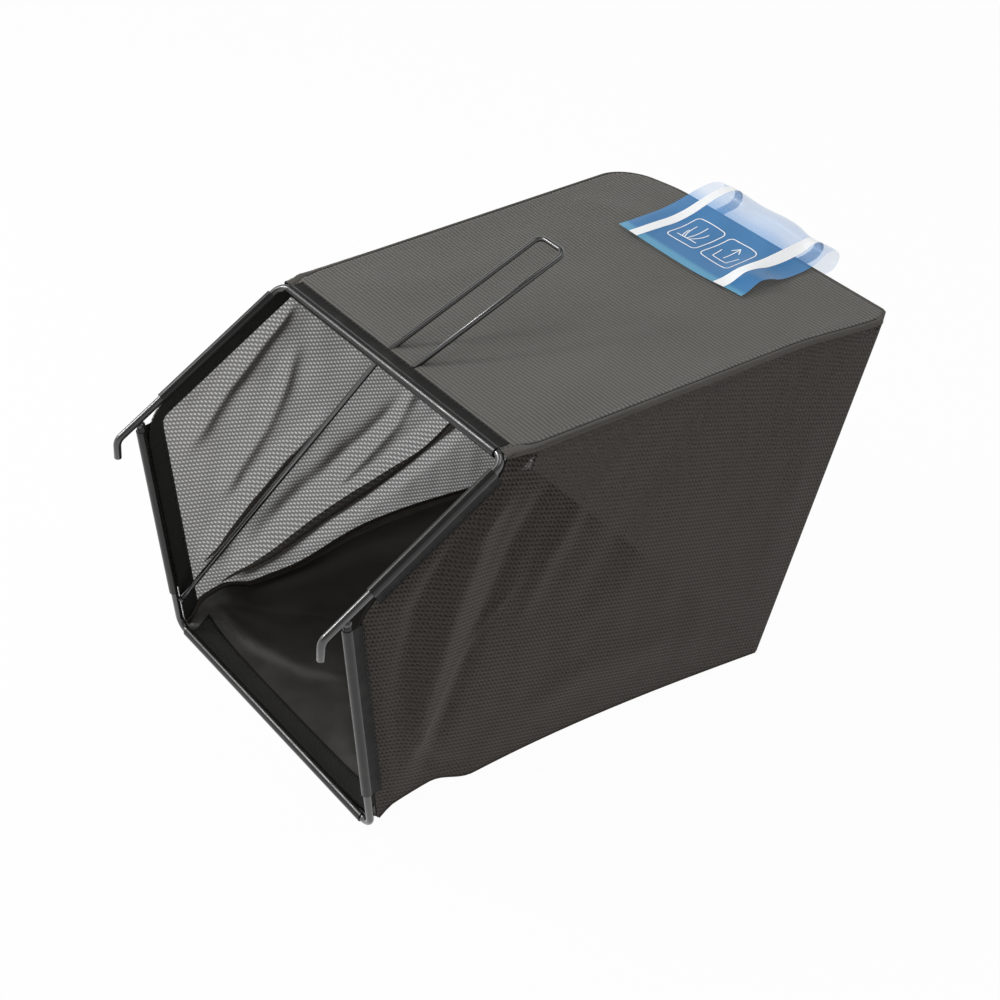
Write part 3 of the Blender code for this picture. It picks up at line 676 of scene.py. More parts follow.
FLOOR_RIDGES = [
    ([(-0.16, 0.028), (-0.138, 0.034), (-0.088, 0.045), (-0.036, 0.065), (0.01, 0.1)], 0.0075, 0.0036),
    ([(-0.158, 0.04), (-0.125, 0.072), (-0.093, 0.112), (-0.05, 0.15)], 0.0045, -0.0012),
    ([(-0.06, 0.12), (0.0, 0.085), (0.06, 0.045), (0.11, 0.026)], 0.016, 0.0022),
    ([(-0.1, 0.2), (-0.02, 0.18), (0.06, 0.2), (0.12, 0.26)], 0.022, 0.0026),
    ([(-0.12, 0.3), (-0.04, 0.26), (0.05, 0.3), (0.12, 0.35)], 0.02, -0.002),
]
TOP_RIDGES = [
    ([(-0.15, 0.15), (-0.1, 0.2), (-0.09, 0.3), (-0.12, 0.42)], 0.022, 0.0014),
    ([(0.15, 0.14), (0.11, 0.21), (0.08, 0.32), (0.06, 0.44)], 0.024, 0.0016),
    ([(0.02, 0.15), (0.04, 0.25), (0.02, 0.36)], 0.02, -0.0012),
    ([(-0.15, 0.44), (-0.09, 0.48), (-0.03, 0.5)], 0.014, 0.0012),
    ([(0.04, 0.49), (0.1, 0.47), (0.16, 0.42)], 0.014, 0.0012),
]


def wall_limits(side, y):
    """Lowest and highest point of a side wall, between its two rolled seams."""
    return bottom_height(side, 1.0, y) + ROLL * 0.6, top_edge_height(y) - ROLL - ROLL_DROP


def floor_turn_up(y):
    fade = ease(0.05, 0.10, y) * lerp(0.4, 1.0, ease(0.40, 0.26, y))
    return lerp(0.003, 0.008, ease(0.12, 0.24, y)) * fade


def wall_point(side, y, z):
    low, high = wall_limits(side, y)
    start = corner_start(side, z)
    seam = ease(0.0, 0.030, z - low) * ease(0.0, 0.028, high - z)
    inside = ease(0.004, 0.045, y - flange_back(z)) * ease(0.0, 0.05, start - y)
    ridges = RIGHT_RIDGES if side > 0 else LEFT_RIDGES
    lift = ridge_height(y, z, ridges)
    ripple = 0.0006 * noise.noise(Vector((y * 38, z * 24, side * 3.1)))
    groove = 0.0006 * math.exp(-((high - z - 0.0062) / 0.0013) ** 2)
    groove += 0.0020 * math.exp(-((high - z) / 0.0022) ** 2)
    x = side_x(side, y, z) + (lift + ripple) * seam * inside - groove * ease(0.0, 0.004, y - TOP_FLANGE_END)
    return Vector((side * x, y, z))


def towards_corner_wire(points):
    """The mouth's edge reaches up to the bent wire in the top corner, past the clip's end."""
    hook_in = into_bag(HOOK_WAY)
    moved = []
    for point in points:
        near = ease(0.019, 0.011, (points[-1] - point).length)
        moved.append(point - hook_in * CORNER_REACH * near)
    return moved


def wall_rows(side, row_count=76, columns=128, corner_columns=10):
    limits = wall_limits(side, TOP_FRONT)[1], wall_limits(side, FABRIC_START)[0]
    edge = mouth_edge(FABRIC_START, FABRIC_START, *limits, HEM_SHOULDER_RADIUS)
    edge = towards_corner_wire(resampled(edge, row_count + 1))
    rows, flat = [], []
    for row in range(row_count + 1):
        share = row / row_count
        front = edge[row]
        back_z = lerp(*wall_limits(side, REAR_BACK[1]), share)
        radius, start = corner_radius(side, back_z), corner_start(side, back_z)
        places = [(lerp(front.y, start, column / columns), 0.0) for column in range(columns)]
        for turn in spread(0.0, math.pi / 4, corner_columns):
            places.append((start + radius * math.sin(turn), radius * (turn - math.sin(turn))))
        last = places[-1][0]
        drop = front.z - lerp(*wall_limits(side, front.y), share)
        points, spots = [], []
        for y, extra in places:
            along = (y - front.y) / (last - front.y)
            z = lerp(*wall_limits(side, y), share) + drop * (1 - along)
            point = wall_point(side, y, z)
            if y > start:
                point.y += rear_bow(point.x, z)
            points.append(point)
            spots.append((y + extra, z))
        rows.append(points)
        flat.append(spots)
    if side < 0:
        rows, flat = [row[::-1] for row in rows], [row[::-1] for row in flat]
    return rows, flat


def rear_corner(side, z, corner_columns=10):
    """The rear half of a corner, from its middle to the rear."""
    radius = corner_radius(side, z)
    width = rear_half_width(side, z) - radius
    points = []
    for turn in spread(math.pi / 4, math.pi / 2, corner_columns):
        x = side * (width + radius * math.cos(turn))
        points.append((x, corner_start(side, z) + radius * math.sin(turn) + rear_bow(x, z)))
    return points


def rear_rows(row_count=70, columns=84):
    rows, flat = [], []
    for row in range(row_count + 1):
        share = row / row_count
        z = lerp(0.0012, REAR_TOP - ROLL - ROLL_DROP, share)
        right, left = rear_corner(1, z), rear_corner(-1, z)[::-1]
        middle = []
        for column in range(1, columns):
            x = lerp(right[-1][0], left[0][0], column / columns)
            bulge = REAR_BULGE * math.cos(math.pi / 2 * x / right[-1][0]) * math.sin(math.pi * share)
            soft = 0.0022 * noise.noise(Vector((x * 11, z * 7, 8.4)))
            soft += 0.0012 * math.sin(x * 70 + z * 38) * math.sin(math.pi * share)
            fade = ease(0.0, 0.06, min(right[-1][0] - x, x - left[0][0]))
            fade *= ease(0.0, 0.04, z) * ease(0.0, 0.04, REAR_TOP - z)
            middle.append((x, at_height(REAR_BACK, z) + max(bulge, 0.0) + soft * fade + rear_bow(x, z)))
        points = right + middle + left
        rows.append([Vector((x, y, z)) for x, y in points])
        spots, along = [], 0.0
        for (x0, y0), (x1, y1) in zip([points[0]] + points, points):
            along += math.hypot(x1 - x0, y1 - y0)
            spots.append((along - points[0][0], z))
        flat.append(spots)
    return rows, flat


def outline_half(side, front_y, level, side_steps, corner_steps):
    """Edge of a level panel along one side and round its rear corner, with its way out."""
    start, radius = corner_start(side, level), corner_radius(side, level)
    width = rear_half_width(side, level) - radius
    middle = corner_start(-1, level)
    made = []
    for step in range(side_steps):
        y = lerp(front_y, start, step / side_steps)
        centre = Vector((0, lerp(front_y, middle, step / side_steps)))
        made.append((Vector((side * side_x(side, y, level), y)), Vector((side, 0)), centre))
    for step in range(corner_steps + 1):
        turn = math.pi / 2 * step / corner_steps
        way = Vector((side * math.cos(turn), math.sin(turn)))
        point = Vector((side * width, start)) + way * radius
        point.y += rear_bow(point.x, level)
        made.append((point, way, Vector((0, middle))))
    return made


def outline(front_y, height, side_steps, rear_steps=70, corner_steps=14):
    """Edge of a level panel from its right front round the rear to its left front."""
    level = max(height, 0.0)
    right = outline_half(1, front_y, level, side_steps, corner_steps)
    left = outline_half(-1, front_y, level, side_steps, corner_steps)
    rear = []
    for step in range(1, rear_steps):
        point = right[-1][0].lerp(left[-1][0], step / rear_steps)
        point.y = at_height(REAR_BACK, level) + rear_bow(point.x, level)
        rear.append((point, Vector((0, 1)), Vector((0, right[-1][2].y))))
    return right + rear + left[::-1]


def top_z(x, y):
    share = clamp(abs(x) / side_x(x, min(y, REAR_BACK[1] - 0.001), REAR_TOP))
    dip = math.sin(math.pi * clamp((y - TOP_FLANGE_END) / (REAR_BACK[1] - TOP_FLANGE_END)))
    inside = ease(0.0, 0.05, y - TOP_FLANGE_END) * ease(0.0, 0.05, REAR_BACK[1] - y) * ease(1.0, 0.8, share)
    hem = 0.0009 * ease(TOP_FRONT + HEM_WIDTH + 0.0012, TOP_FRONT + HEM_WIDTH - 0.0012, y)
    hem *= ease(TOP_FLANGE_END - 0.001, TOP_FLANGE_END + 0.004, y)
    ripple = 0.0007 * noise.noise(Vector((x * 22, y * 16, 5.5)))
    lift = (ridge_height(x, y, TOP_RIDGES) + ripple) * inside
    hoop = 0.0007 * math.exp(-((share - 0.93) / 0.02) ** 2) * inside
    return top_edge_height(y) - TOP_SAG * dip * (1 - share ** 2) + lift + hem + hoop


def floor_z(x, y):
    share = clamp(abs(x) / side_x(x, min(y, REAR_BACK[0] - 0.001), 0.0))
    inside = ease(0.0, 0.03, y - FLANGE_END) * ease(0.0, 0.05, REAR_BACK[0] - y) * ease(1.0, 0.85, share)
    ripple = 0.0008 * noise.noise(Vector((x * 18, y * 14, 2.2)))
    return bottom_height(x, share, y) + (ridge_height(x, y, FLOOR_RIDGES) + abs(ripple)) * inside


def level_panel(name, front_y, height, surface, up, material, node,
                turn_up=None, pulled_in=0.0, fold=None):
    """A top or bottom panel whose edge rolls over into the walls; up is 1 at the top and -1 at the floor.

    With a fold, the rolled edge is of that material: wall cloth sewn down on the top along a groove.
    """
    rows = []
    for point, way, centre in outline(front_y, height, 104):
        point = point - way * pulled_in
        edge_z = surface(point.x, point.y)
        extra = turn_up(point.y) if turn_up else 0.0
        line = []
        for step in range(ROLL_DROP_STEPS):
            drop = ROLL + lerp(ROLL_DROP + extra, 0.0, step / ROLL_DROP_STEPS)
            line.append(Vector((point.x, point.y, edge_z - up * drop)))
        for step in range(ROLL_STEPS):
            turn = math.pi / 2 * step / (ROLL_STEPS - 1)
            spot = point - way * ROLL * (1 - math.cos(turn))
            line.append(Vector((spot.x, spot.y, edge_z - up * ROLL * (1 - math.sin(turn)))))
        inner = point - way * ROLL
        if fold:
            inset = groove_inset(point.y) - ROLL
            for aside, sunk in ((-GROOVE_HALF_WIDTH, 0.0), (0.0, GROOVE_DEPTH), (GROOVE_HALF_WIDTH, 0.0)):
                spot = inner - way * (inset + aside)
                line.append(Vector((spot.x, spot.y, surface(spot.x, spot.y) - sunk)))
            inner = inner - way * (inset + GROOVE_HALF_WIDTH)
        for column in range(1, PANEL_COLUMNS + 1):
            spot = inner.lerp(centre, column / PANEL_COLUMNS)
            line.append(Vector((spot.x, spot.y, surface(spot.x, spot.y))))
        if up > 0:
            for spot in line:
                corner = ease(0.147, 0.151, abs(spot.x)) * ease(front_y + 0.020, front_y, spot.y)
                spot.y -= CORNER_REACH * corner
        for spot in line[:ROLL_DROP_STEPS + ROLL_STEPS]:
            spot.y -= up * REAR_SLOPE * abs(edge_z - spot.z) * max(way.y, 0.0)
        rows.append(line if up > 0 else line[::-1])
    border = (fold, ROLL_DROP_STEPS + ROLL_STEPS + 1) if fold else None
    return grid(name, rows, material, (node,), thickness=CLOTH, weld=True, border=border)


# Camera, light and floor

def set_stage():
    scene = bpy.context.scene
    scene.view_settings.view_transform = "Standard"
    data = bpy.data.cameras.new("camera")
    data.sensor_width = 36.0
    data.lens = CAMERA_LENS
    camera = bpy.data.objects.new("camera", data)
    back = CAMERA_RIGHT.cross(CAMERA_UP)
    turn = Matrix((CAMERA_RIGHT, CAMERA_UP, back)).transposed().to_4x4()
    camera.matrix_world = Matrix.Translation(CAMERA_PLACE) @ turn
    scene.collection.objects.link(camera)
    scene.camera = camera

    world = bpy.data.worlds.new("studio")
    scene.world = world
    world.use_nodes = True
    tree = world.node_tree
    sky = tree.nodes["Background"]
    sky.inputs["Color"].default_value = (1, 1, 1, 1)
    rays = tree.nodes.new("ShaderNodeLightPath").outputs
    seen = maths(tree, "MAXIMUM", rays["Is Camera Ray"], rays["Is Transmission Ray"])
    way = tree.nodes.new("ShaderNodeTexCoord").outputs["Generated"]
    around = ramped(tree, dotted(tree, way, (0, 0, 1)), 0.02, 0.70, 1.0, 0.30)
    feed(tree, maths(tree, "MAXIMUM", around, seen), sky.inputs["Strength"])

    lamps = (
        ("key", (-1.20, -0.95, 1.50), (0.0, 0.2, 0.2), 1.20, 1.20, 15.5),
        ("glint", (-1.18, -0.93, 1.46), (0.0, 0.2, 0.2), 0.30, 0.30, 8.0),
        ("overhead", (0.1, 0.5, 2.0), (0.0, 0.3, 0.3), 1.2, 1.2, 7.5),
    )
    for name, place, target, width, depth, power in lamps:
        lamp = bpy.data.lights.new(name, "AREA")
        lamp.shape = "RECTANGLE"
        lamp.size, lamp.size_y, lamp.energy = width, depth, power
        holder = bpy.data.objects.new(name, lamp)
        holder.location = place
        holder.rotation_euler = (Vector(target) - Vector(place)).to_track_quat("-Z", "Y").to_euler()
        scene.collection.objects.link(holder)

    made = bmesh.new()
    bmesh.ops.create_grid(made, x_segments=2, y_segments=2, size=14.0)
    mesh = written("floor", made)
    floor = bpy.data.objects.new("floor", mesh)
    material, tree, shader = new_material("pale_floor")
    shader.inputs["Base Color"].default_value = (0.80, 0.80, 0.80, 1)
    shader.inputs["Roughness"].default_value = 0.9
    shader.inputs["Specular IOR Level"].default_value = 0.1
    glow = tree.nodes.new("ShaderNodeEmission")
    glow.inputs["Color"].default_value = (1, 1, 1, 1)
    rays = tree.nodes.new("ShaderNodeLightPath").outputs
    seen = maths(tree, "MAXIMUM", rays["Is Camera Ray"], rays["Is Glossy Ray"])
    seen = maths(tree, "MAXIMUM", seen, rays["Is Transmission Ray"])
    blended(tree, maths(tree, "MULTIPLY", seen, 0.97), shader, glow)
    mesh.materials.append(material)
    scene.collection.objects.link(floor)


# Wires, welds and clips

def butt_distance(along, across, radius, target):
    cosine = abs(along.normalized().dot(across.normalized()))
    return (target + radius * cosine) / math.sqrt(1 - cosine ** 2)


def build_wires(paint):
    bend = SHOULDER - HOOK_WAY * HOOK_REACH
    right = [bend - Vector((0, 0, HOOK_DROP)), bend, TOP_CORNER]
    radii = [HOOK_BEND_RADIUS, FRAME_BEND_RADIUS, FRAME_BEND_RADIUS, HOOK_BEND_RADIUS]
    path = rounded_path(right + [mirrored(p) for p in reversed(right)], radii)
    tube("hook_wire_smooth", path, FRAME_WIRE, paint, ["hook_wire"], 28, 0.0008)

    end = SHOULDER - LEG_WAY * butt_distance(LEG_WAY, HOOK_WAY, FRAME_WIRE, FRAME_WIRE)
    path = rounded_path([end, BOTTOM_CORNER, mirrored(BOTTOM_CORNER), mirrored(end)], radii[1:3])
    tube("lower_wire_smooth", path, FRAME_WIRE, paint, ["lower_wire"], 28)

    leg = mirrored(BOTTOM_CORNER + LEG_WAY * (BRACE_FOOT_RISE / LEG_WAY.z))
    way = (HANDLE_BEND - leg).normalized()
    foot = leg + way * butt_distance(way, LEG_WAY, THIN_WIRE, FRAME_WIRE)
    rise = (HANDLE_END - HANDLE_BEND).normalized()
    root = HANDLE_BEND + rise * (HANDLE_ROOT - HANDLE_BEND).dot(rise) + rise * 0.0036
    corners = [foot, HANDLE_BEND, HANDLE_END, mirrored(HANDLE_END), mirrored(root)]
    path = rounded_path(corners, [BRACE_BEND_RADIUS, HANDLE_CORNER_RADIUS, HANDLE_CORNER_RADIUS])
    tube("handle_brace_smooth", path, THIN_WIRE, paint, ["handle_brace_wire"], 24)

    front_y = TOP_BAR.y + FRAME_WIRE + GAP
    back_y, back_x = REAR_BACK[1] - HOOP_INSET, REAR_HALF_WIDTH[1] - HOOP_INSET
    front = Vector((HOOP_FRONT_HALF_WIDTH, front_y, top_edge_height(front_y) - HOOP_DROP))
    back = Vector((back_x, back_y, top_edge_height(back_y) - HOOP_DROP))
    path = rounded_path([front, back, mirrored(back), mirrored(front)], [HOOP_CORNER_RADIUS] * 2)
    tube("rear_hoop_smooth", path, THIN_WIRE, paint, ["rear_hoop_wire"], 20)
    bead = THIN_WIRE + 0.0011
    beads = {
        "right_shoulder_weld": (end, LEG_WAY, FRAME_WIRE + 0.0010),
        "left_shoulder_weld": (mirrored(end), LEG_WAY, FRAME_WIRE + 0.0010),
        "right_hoop_weld": (front, Vector((0, 1, 0)), bead),
        "left_hoop_weld": (mirrored(front), Vector((0, 1, 0)), bead),
        "right_handle_weld": (mirrored(root), rise, bead),
        "left_handle_weld": (HANDLE_BEND + Vector((0.0041, -0.0021, -0.0006)), rise, bead),
        "brace_foot_weld": (foot, way, bead),
    }
    for name, (centre, axis, radius) in beads.items():
        weld_bead(name, centre, axis, radius, paint)


def weld_bead(name, centre, axis, radius, paint):
    """A lumpy bead, flattened along the wire that it ends."""
    ball = bmesh.new()
    bmesh.ops.create_icosphere(ball, subdivisions=3, radius=radius)
    for vert in ball.verts:
        lump = 1 + 0.10 * noise.noise(vert.co * 520 + centre * 90)
        vert.co = vert.co * lump
        vert.co -= axis * vert.co.dot(axis) * 0.35
        vert.co += centre
    finish_mesh(name + "_bead", written(name + "_bead", ball), paint, [name])


def arc(centre, radius, first, last, steps):
    turns = spread(first, last, steps)
    return [(centre[0] + radius * math.cos(t), centre[1] + radius * math.sin(t)) for t in turns]


def clip_outline():
    """Cross-section: a C round the wire, and a flange with a rounded bead along its edge."""
    face = CLIP_OUTER - 0.00045
    bead = (FLANGE_END - 0.0006, CLIP_OUTER - 0.0006)
    lip = CLIP_LIP_ANGLE
    middle = (CLIP_INNER + CLIP_OUTER) / 2
    points = arc(bead, 0.0006, -math.pi / 2, math.radians(150), 9)
    points += [(FLANGE_END - 0.0016, face)]
    points += arc((0, 0), CLIP_OUTER, math.asin(face / CLIP_OUTER), lip, 34)
    tip = (middle * math.cos(lip), middle * math.sin(lip))
    points += arc(tip, CLIP_WALL / 2, lip, lip + math.pi, 5)[1:-1]
    points += arc((0, 0), CLIP_INNER, lip, math.pi / 2, 26)
    return points


def clip(name, start, end, outwards, plastic, thread):
    along = (end - start).normalized()
    inwards = along.cross(outwards)
    ends = []
    for point in (start, end):
        ends.append([point + inwards * x + outwards * y for x, y in clip_outline()])
    count = 24
    rings = [[a.lerp(b, step / count) for a, b in zip(*ends)] for step in range(count + 1)]
    mesh = rings_to_mesh(name + "_profile", rings)
    finish_mesh(name + "_profile", mesh, plastic[0], [name], sharp=50)
    mesh.materials.append(plastic[1])
    sides = len(rings[0])
    for face in mesh.polygons:
        spot = face.index % sides
        if face.index < sides * count and (spot < 11 or spot == sides - 1):
            face.material_index = 1
    line = [p + inwards * (FLANGE_END - 0.0018) + outwards * (CLIP_OUTER - 0.0002) for p in (start, end)]
    inset = (line[1] - line[0]).normalized() * 0.004
    stitches(name + "_sewing", [line[0] + inset, line[1] - inset], outwards, thread, 0.0056)


def build_clips(plastic, thread):
    up, right = Vector((0, 0, 1)), Vector((1, 0, 0))
    reach = right * TOP_CLIP_HALF_LENGTH
    clip("top_clip", TOP_BAR + reach, TOP_BAR - reach, up, plastic, thread)
    reach, bar = right * BOTTOM_CLIP_HALF_LENGTH, Vector((0, 0, BAR))
    clip("bottom_clip", bar - reach, bar + reach, -up, plastic, thread)
    upper = (SHOULDER + HOOK_WAY * UPPER_CLIP_TO_SHOULDER, TOP_CORNER - HOOK_WAY * UPPER_CLIP_FROM_TOP)
    lower = (BOTTOM_CORNER + LEG_WAY * LOWER_CLIP_FROM_BOTTOM, SHOULDER - LEG_WAY * LOWER_CLIP_TO_SHOULDER)
    for place, (low, high) in (("upper", upper), ("lower", lower)):
        clip("right_" + place + "_clip", low, high, right, plastic, thread)
        clip("left_" + place + "_clip", mirrored(high), mirrored(low), -right, plastic, thread)


# Bag

def pleat(name, line, half_width, material):
    """A fold of the left wall that lies double: a second layer of mesh on the inside, along a line."""
    rows, flat = [], []
    spots = resampled([Vector((0, *place)) for place in line], 90)
    for at, spot in enumerate(spots):
        share = at / (len(spots) - 1)
        way = (spots[min(at + 1, len(spots) - 1)] - spots[max(at - 1, 0)]).normalized()
        reach = half_width * math.sin(math.pi * clamp(share)) ** 0.6 + 0.0003
        row, places = [], []
        for step in range(-5, 6):
            y = spot.y - way.z * reach * step / 5
            z = spot.z + way.y * reach * step / 5
            point = wall_point(-1, y, z)
            point.x += 0.0004 + 0.0022 * (reach / half_width) * (1 - (step / 5) ** 2)
            row.append(point)
            places.append((y, z))
        rows.append(row)
        flat.append(places)
    return grid(name, rows, material, (), flat)


def build_bag(tape, rolled, thread, pale_thread):
    side_material = mesh_cloth("open_mesh_cloth", 0.56, 0.03, 0.02)
    rear_material = mesh_cloth("close_mesh_cloth", 0.10, 0.03, 0.10)
    top_material, floor_material = ribbed_cloth(), coated_cloth()
    for side, name in SIDES:
        rows, flat = wall_rows(side)
        wall = grid(name + "_mesh_wall", rows, side_material, [name + "_mesh_panel"], flat)
        sewing = seam_sewing(side, name, thread)
        hem, edge, hem_sewing = side_hem(side, name, tape, thread)
        if side < 0:
            for which, line, half_width in PLEATS:
                pleat("left_wall_pleat_" + which, line, half_width, rear_material)
    rows, flat = rear_rows()
    rear = grid("rear_wall", rows, rear_material, ["rear_panel"], flat)

    fold = tape_cloth("folded_mesh_edge", (0.068, 0.063, 0.056), (0.092, 0.086, 0.077), (0.135, 0.127, 0.115))
    top = level_panel("top_cloth", TOP_FRONT, REAR_TOP, top_z, 1, top_material,
                      "top_panel", fold=fold)
    front_hem, sewing = level_hem("top_mouth_hem", TOP_FRONT + 0.003, 0.1439, top_z, -CLOTH - 0.0002,
                                  tape, thread)
    overcast(pale_thread)
    groove_shade_cord(tape)
    floor = level_panel("floor_cloth", FABRIC_START, 0.0, floor_z, -1, floor_material,
                        "bottom_panel", floor_turn_up, 0.0012)
    front_hem, sewing = level_hem("bottom_mouth_hem", FABRIC_START, 0.147, floor_z, CLOTH + 0.0009,
                                  tape, thread)
    build_bindings(tape, rolled)


def seam_sewing(side, name, thread):
    """Topstitching below the top seam of a side wall."""
    line = []
    for y in spread(TOP_FLANGE_END + 0.006, corner_start(side, REAR_TOP) + 0.006, 59):
        line.append(wall_point(side, y, wall_limits(side, y)[1] - 0.0062))
    return stitches(name + "_top_seam_sewing", line, Vector((side, 0, 0)), thread)


def groove_inset(y):
    """How far in from its edge the top has its groove, where the wall cloth folded over it ends."""
    return ROLL + 0.0022 + 0.005 * ease(0.152, 0.125, y)


def overcast(thread):
    """Short threads along the two side seams of the top, across the edge of the groove."""
    dives = ((0.0, 0.0009), (0.12, 0.0001), (0.4, -0.0001), (0.75, -0.0001), (1.0, 0.0005))
    lines = []
    for side in (1, -1):
        for step in range(86):
            y = 0.150 + 0.0044 * step
            edge = side_x(side, y, REAR_TOP) - groove_inset(y)
            points = []
            for share, sunk in dives:
                x = side * (edge - 0.0004 - 0.0036 * share)
                points.append(Vector((x, y + 0.0005 * share, top_z(x, y) - sunk)))
            lines.append(points)
    return threads("top_overcast_sewing", lines, thread, 0.00048)


def groove_shade_cord(cord):
    """Dark cord laid in the groove along each side of the top: painted shade in the groove."""
    lines = []
    for side in (1, -1):
        line = []
        for y in spread(0.136, 0.528, 119):
            x = side * (side_x(side, y, REAR_TOP) - groove_inset(y))
            line.append(Vector((x, y, top_z(x, y) - 0.0005)))
        lines.append(line)
    return threads("top_groove_cord", lines, cord, 0.0008)


def side_hem(side, name, tape, thread):
    limits = (wall_limits(side, TOP_FRONT)[1] - 0.001, bottom_height(side, 1, FABRIC_START) + HEM_RISE)
    count, steps = 90, 7
    inner = FABRIC_START + HEM_WIDTH - 0.002, FABRIC_START + HEM_WIDTH - 0.005
    outer_line = resampled(mouth_edge(FABRIC_START, FABRIC_START, *limits, HEM_SHOULDER_RADIUS), count)
    lines = [towards_corner_wire(outer_line), resampled(mouth_edge(*inner, *limits, 0.010), count)]
    rows = []
    for step in range(steps):
        row = []
        for low, high in zip(*lines):
            point = low.lerp(high, step / (steps - 1))
            slack = 0.0005 * noise.noise(point * 60) * step / (steps - 1)
            x = abs(wall_point(side, point.y, point.z).x) - HEM_DEPTH - abs(slack)
            z = max(point.z, bottom_height(side, 1, point.y) + HEM_RISE)
            row.append(Vector((side * x, point.y, z)))
        rows.append(row)
    hem = grid(name + "_hem_tape", rows[::-1] if side > 0 else rows, tape, [name + "_mouth_hem"],
               thickness=TAPE)
    inwards = Vector((-side, 0, 0))
    line = [p + inwards * 0.0006 for p in rows[-1]]
    edge = tube(name + "_hem_edge", line, TAPE, tape, sides=10)
    line = [a.lerp(b, 0.6) + inwards * 0.0010 for a, b in zip(rows[-2], rows[-1])]
    sewing = stitches(name + "_hem_sewing", line, inwards, thread)
    return hem, edge, sewing


def level_hem(node, front_y, half_length, surface, step_in, tape, thread):
    """Hem tape along the mouth edge of the top or bottom panel, inside the bag."""
    way = 1 if step_in > 0 else -1
    rows = []
    for y in spread(front_y, FABRIC_START + HEM_WIDTH + (TOP_BAR.y if way < 0 else 0.0), 6):
        rows.append([Vector((x, y, surface(x, y) + step_in)) for x in spread(-half_length, half_length, 60)])
    hem = grid(node + "_tape", rows if way > 0 else [row[::-1] for row in rows], tape, [node],
               thickness=0.0008)
    inwards = Vector((0, 0, way))
    line = [p - Vector((0, 0.0032, 0)) + inwards * 0.0001 for p in rows[-1]]
    return hem, stitches(node + "_sewing", line, inwards, thread)


def seam_line(front_y, height, edge_height, way):
    """Inner corner line round a level panel, from its right front to its left front."""
    inset = 0.0033
    line = []
    for point, out, _ in outline(front_y, height, 60, 30, 8):
        spot = point - out * inset
        line.append(Vector((spot.x, spot.y, edge_height(point.x, point.y) + way * inset)))
    return line


def build_bindings(tape, rolled):
    top = seam_line(TOP_FRONT + HEM_WIDTH, REAR_TOP, lambda side, y: top_edge_height(y), -1)
    tube("top_seam_tape", top, BINDING_RADIUS, tape, ["top_seam_binding"], 12, 0.0008)
    bottom = seam_line(FABRIC_START, 0.0, lambda side, y: bottom_height(side, 1, y) + floor_turn_up(y), 1)
    tube("bottom_seam_tape", bottom, BINDING_RADIUS, rolled, ["bottom_seam_binding"], 12, 0.0008)
    for side, name in SIDES:
        corner, piping = [], []
        for z in spread(0.010, REAR_TOP - 0.010, 30):
            x, y = rear_corner(side, z)[0]
            corner.append(Vector((x - side * 0.0020, y - 0.0020, z)))
        node = name + "_rear_seam_binding"
        tube(name + "_rear_seam_tape", corner, BINDING_RADIUS, tape, [node], 12, 0.0008)
        for y in spread(FABRIC_START, corner_start(side, 0.0), 69):
            low = wall_limits(side, y)[0]
            piping.append(Vector((side * (side_x(side, y, low) - 0.0006), y, low)))
        tube(name + "_bottom_piping", piping, 0.0013, rolled, sides=10)


# Film flap

LEFT_CURL = [
    (0.443, 0.3578), (0.46, 0.3578), (0.478, 0.3579), (0.496, 0.3584), (0.515, 0.3615), (0.531, 0.366),
    (0.548, 0.3705), (0.565, 0.3722), (0.579, 0.3685), (0.584, 0.36), (0.579, 0.3525), (0.564, 0.35),
    (0.548, 0.3492), (0.5372, 0.3486),
]
RIGHT_CURL = [
    (0.449, 0.3572), (0.457, 0.3592), (0.471, 0.366), (0.484, 0.3655), (0.498, 0.3612), (0.512, 0.3592),
    (0.53, 0.3594), (0.548, 0.3628), (0.56, 0.37), (0.574, 0.3682), (0.579, 0.359), (0.573, 0.35),
    (0.556, 0.3482), (0.5372, 0.3486),
]


def curve_through(points, share):
    """A smooth line through the points, at a share of its length in steps."""
    last = len(points) - 1
    at = min(int(share * last), last - 1)
    t = share * last - at
    p = [Vector(points[min(max(at + k, 0), last)]) for k in (-1, 0, 1, 2)]
    return 0.5 * (2 * p[1] + (p[2] - p[0]) * t + (2 * p[0] - 5 * p[1] + 4 * p[2] - p[3]) * t ** 2
                  + (3 * p[1] - p[0] - 3 * p[2] + p[3]) * t ** 3)


def film_point(x, share):
    across = clamp((x + FLAP_HALF_WIDTH) / (2 * FLAP_HALF_WIDTH))
    bend = ease(0.62, 1.0, across)
    spot = curve_through(LEFT_CURL, share).lerp(curve_through(RIGHT_CURL, share), bend)
    lying = ease(0.30, 0.0, share)
    wave = 0.0009 * math.sin(across * 15 + share * 9) * ease(0.02, 0.25, share) * ease(1.0, 0.9, share)
    droop = 0.0011 * (1 - (2 * across - 1) ** 2) * lying
    return Vector((x, spot.x, spot.y + wave - droop))


def film_normal(x, share):
    step = 0.004
    along = film_point(x, min(share + step, 1.0)) - film_point(x, max(share - step, 0.0))
    beside = film_point(x + 0.0005, share) - film_point(x - 0.0005, share)
    return beside.cross(along).normalized()


def on_film(x, distance, lift):
    """A place on top of the film, by its distance from the front edge."""
    share = clamp(distance / FILM_LENGTH)
    return film_point(x, share) + film_normal(x, share) * lift


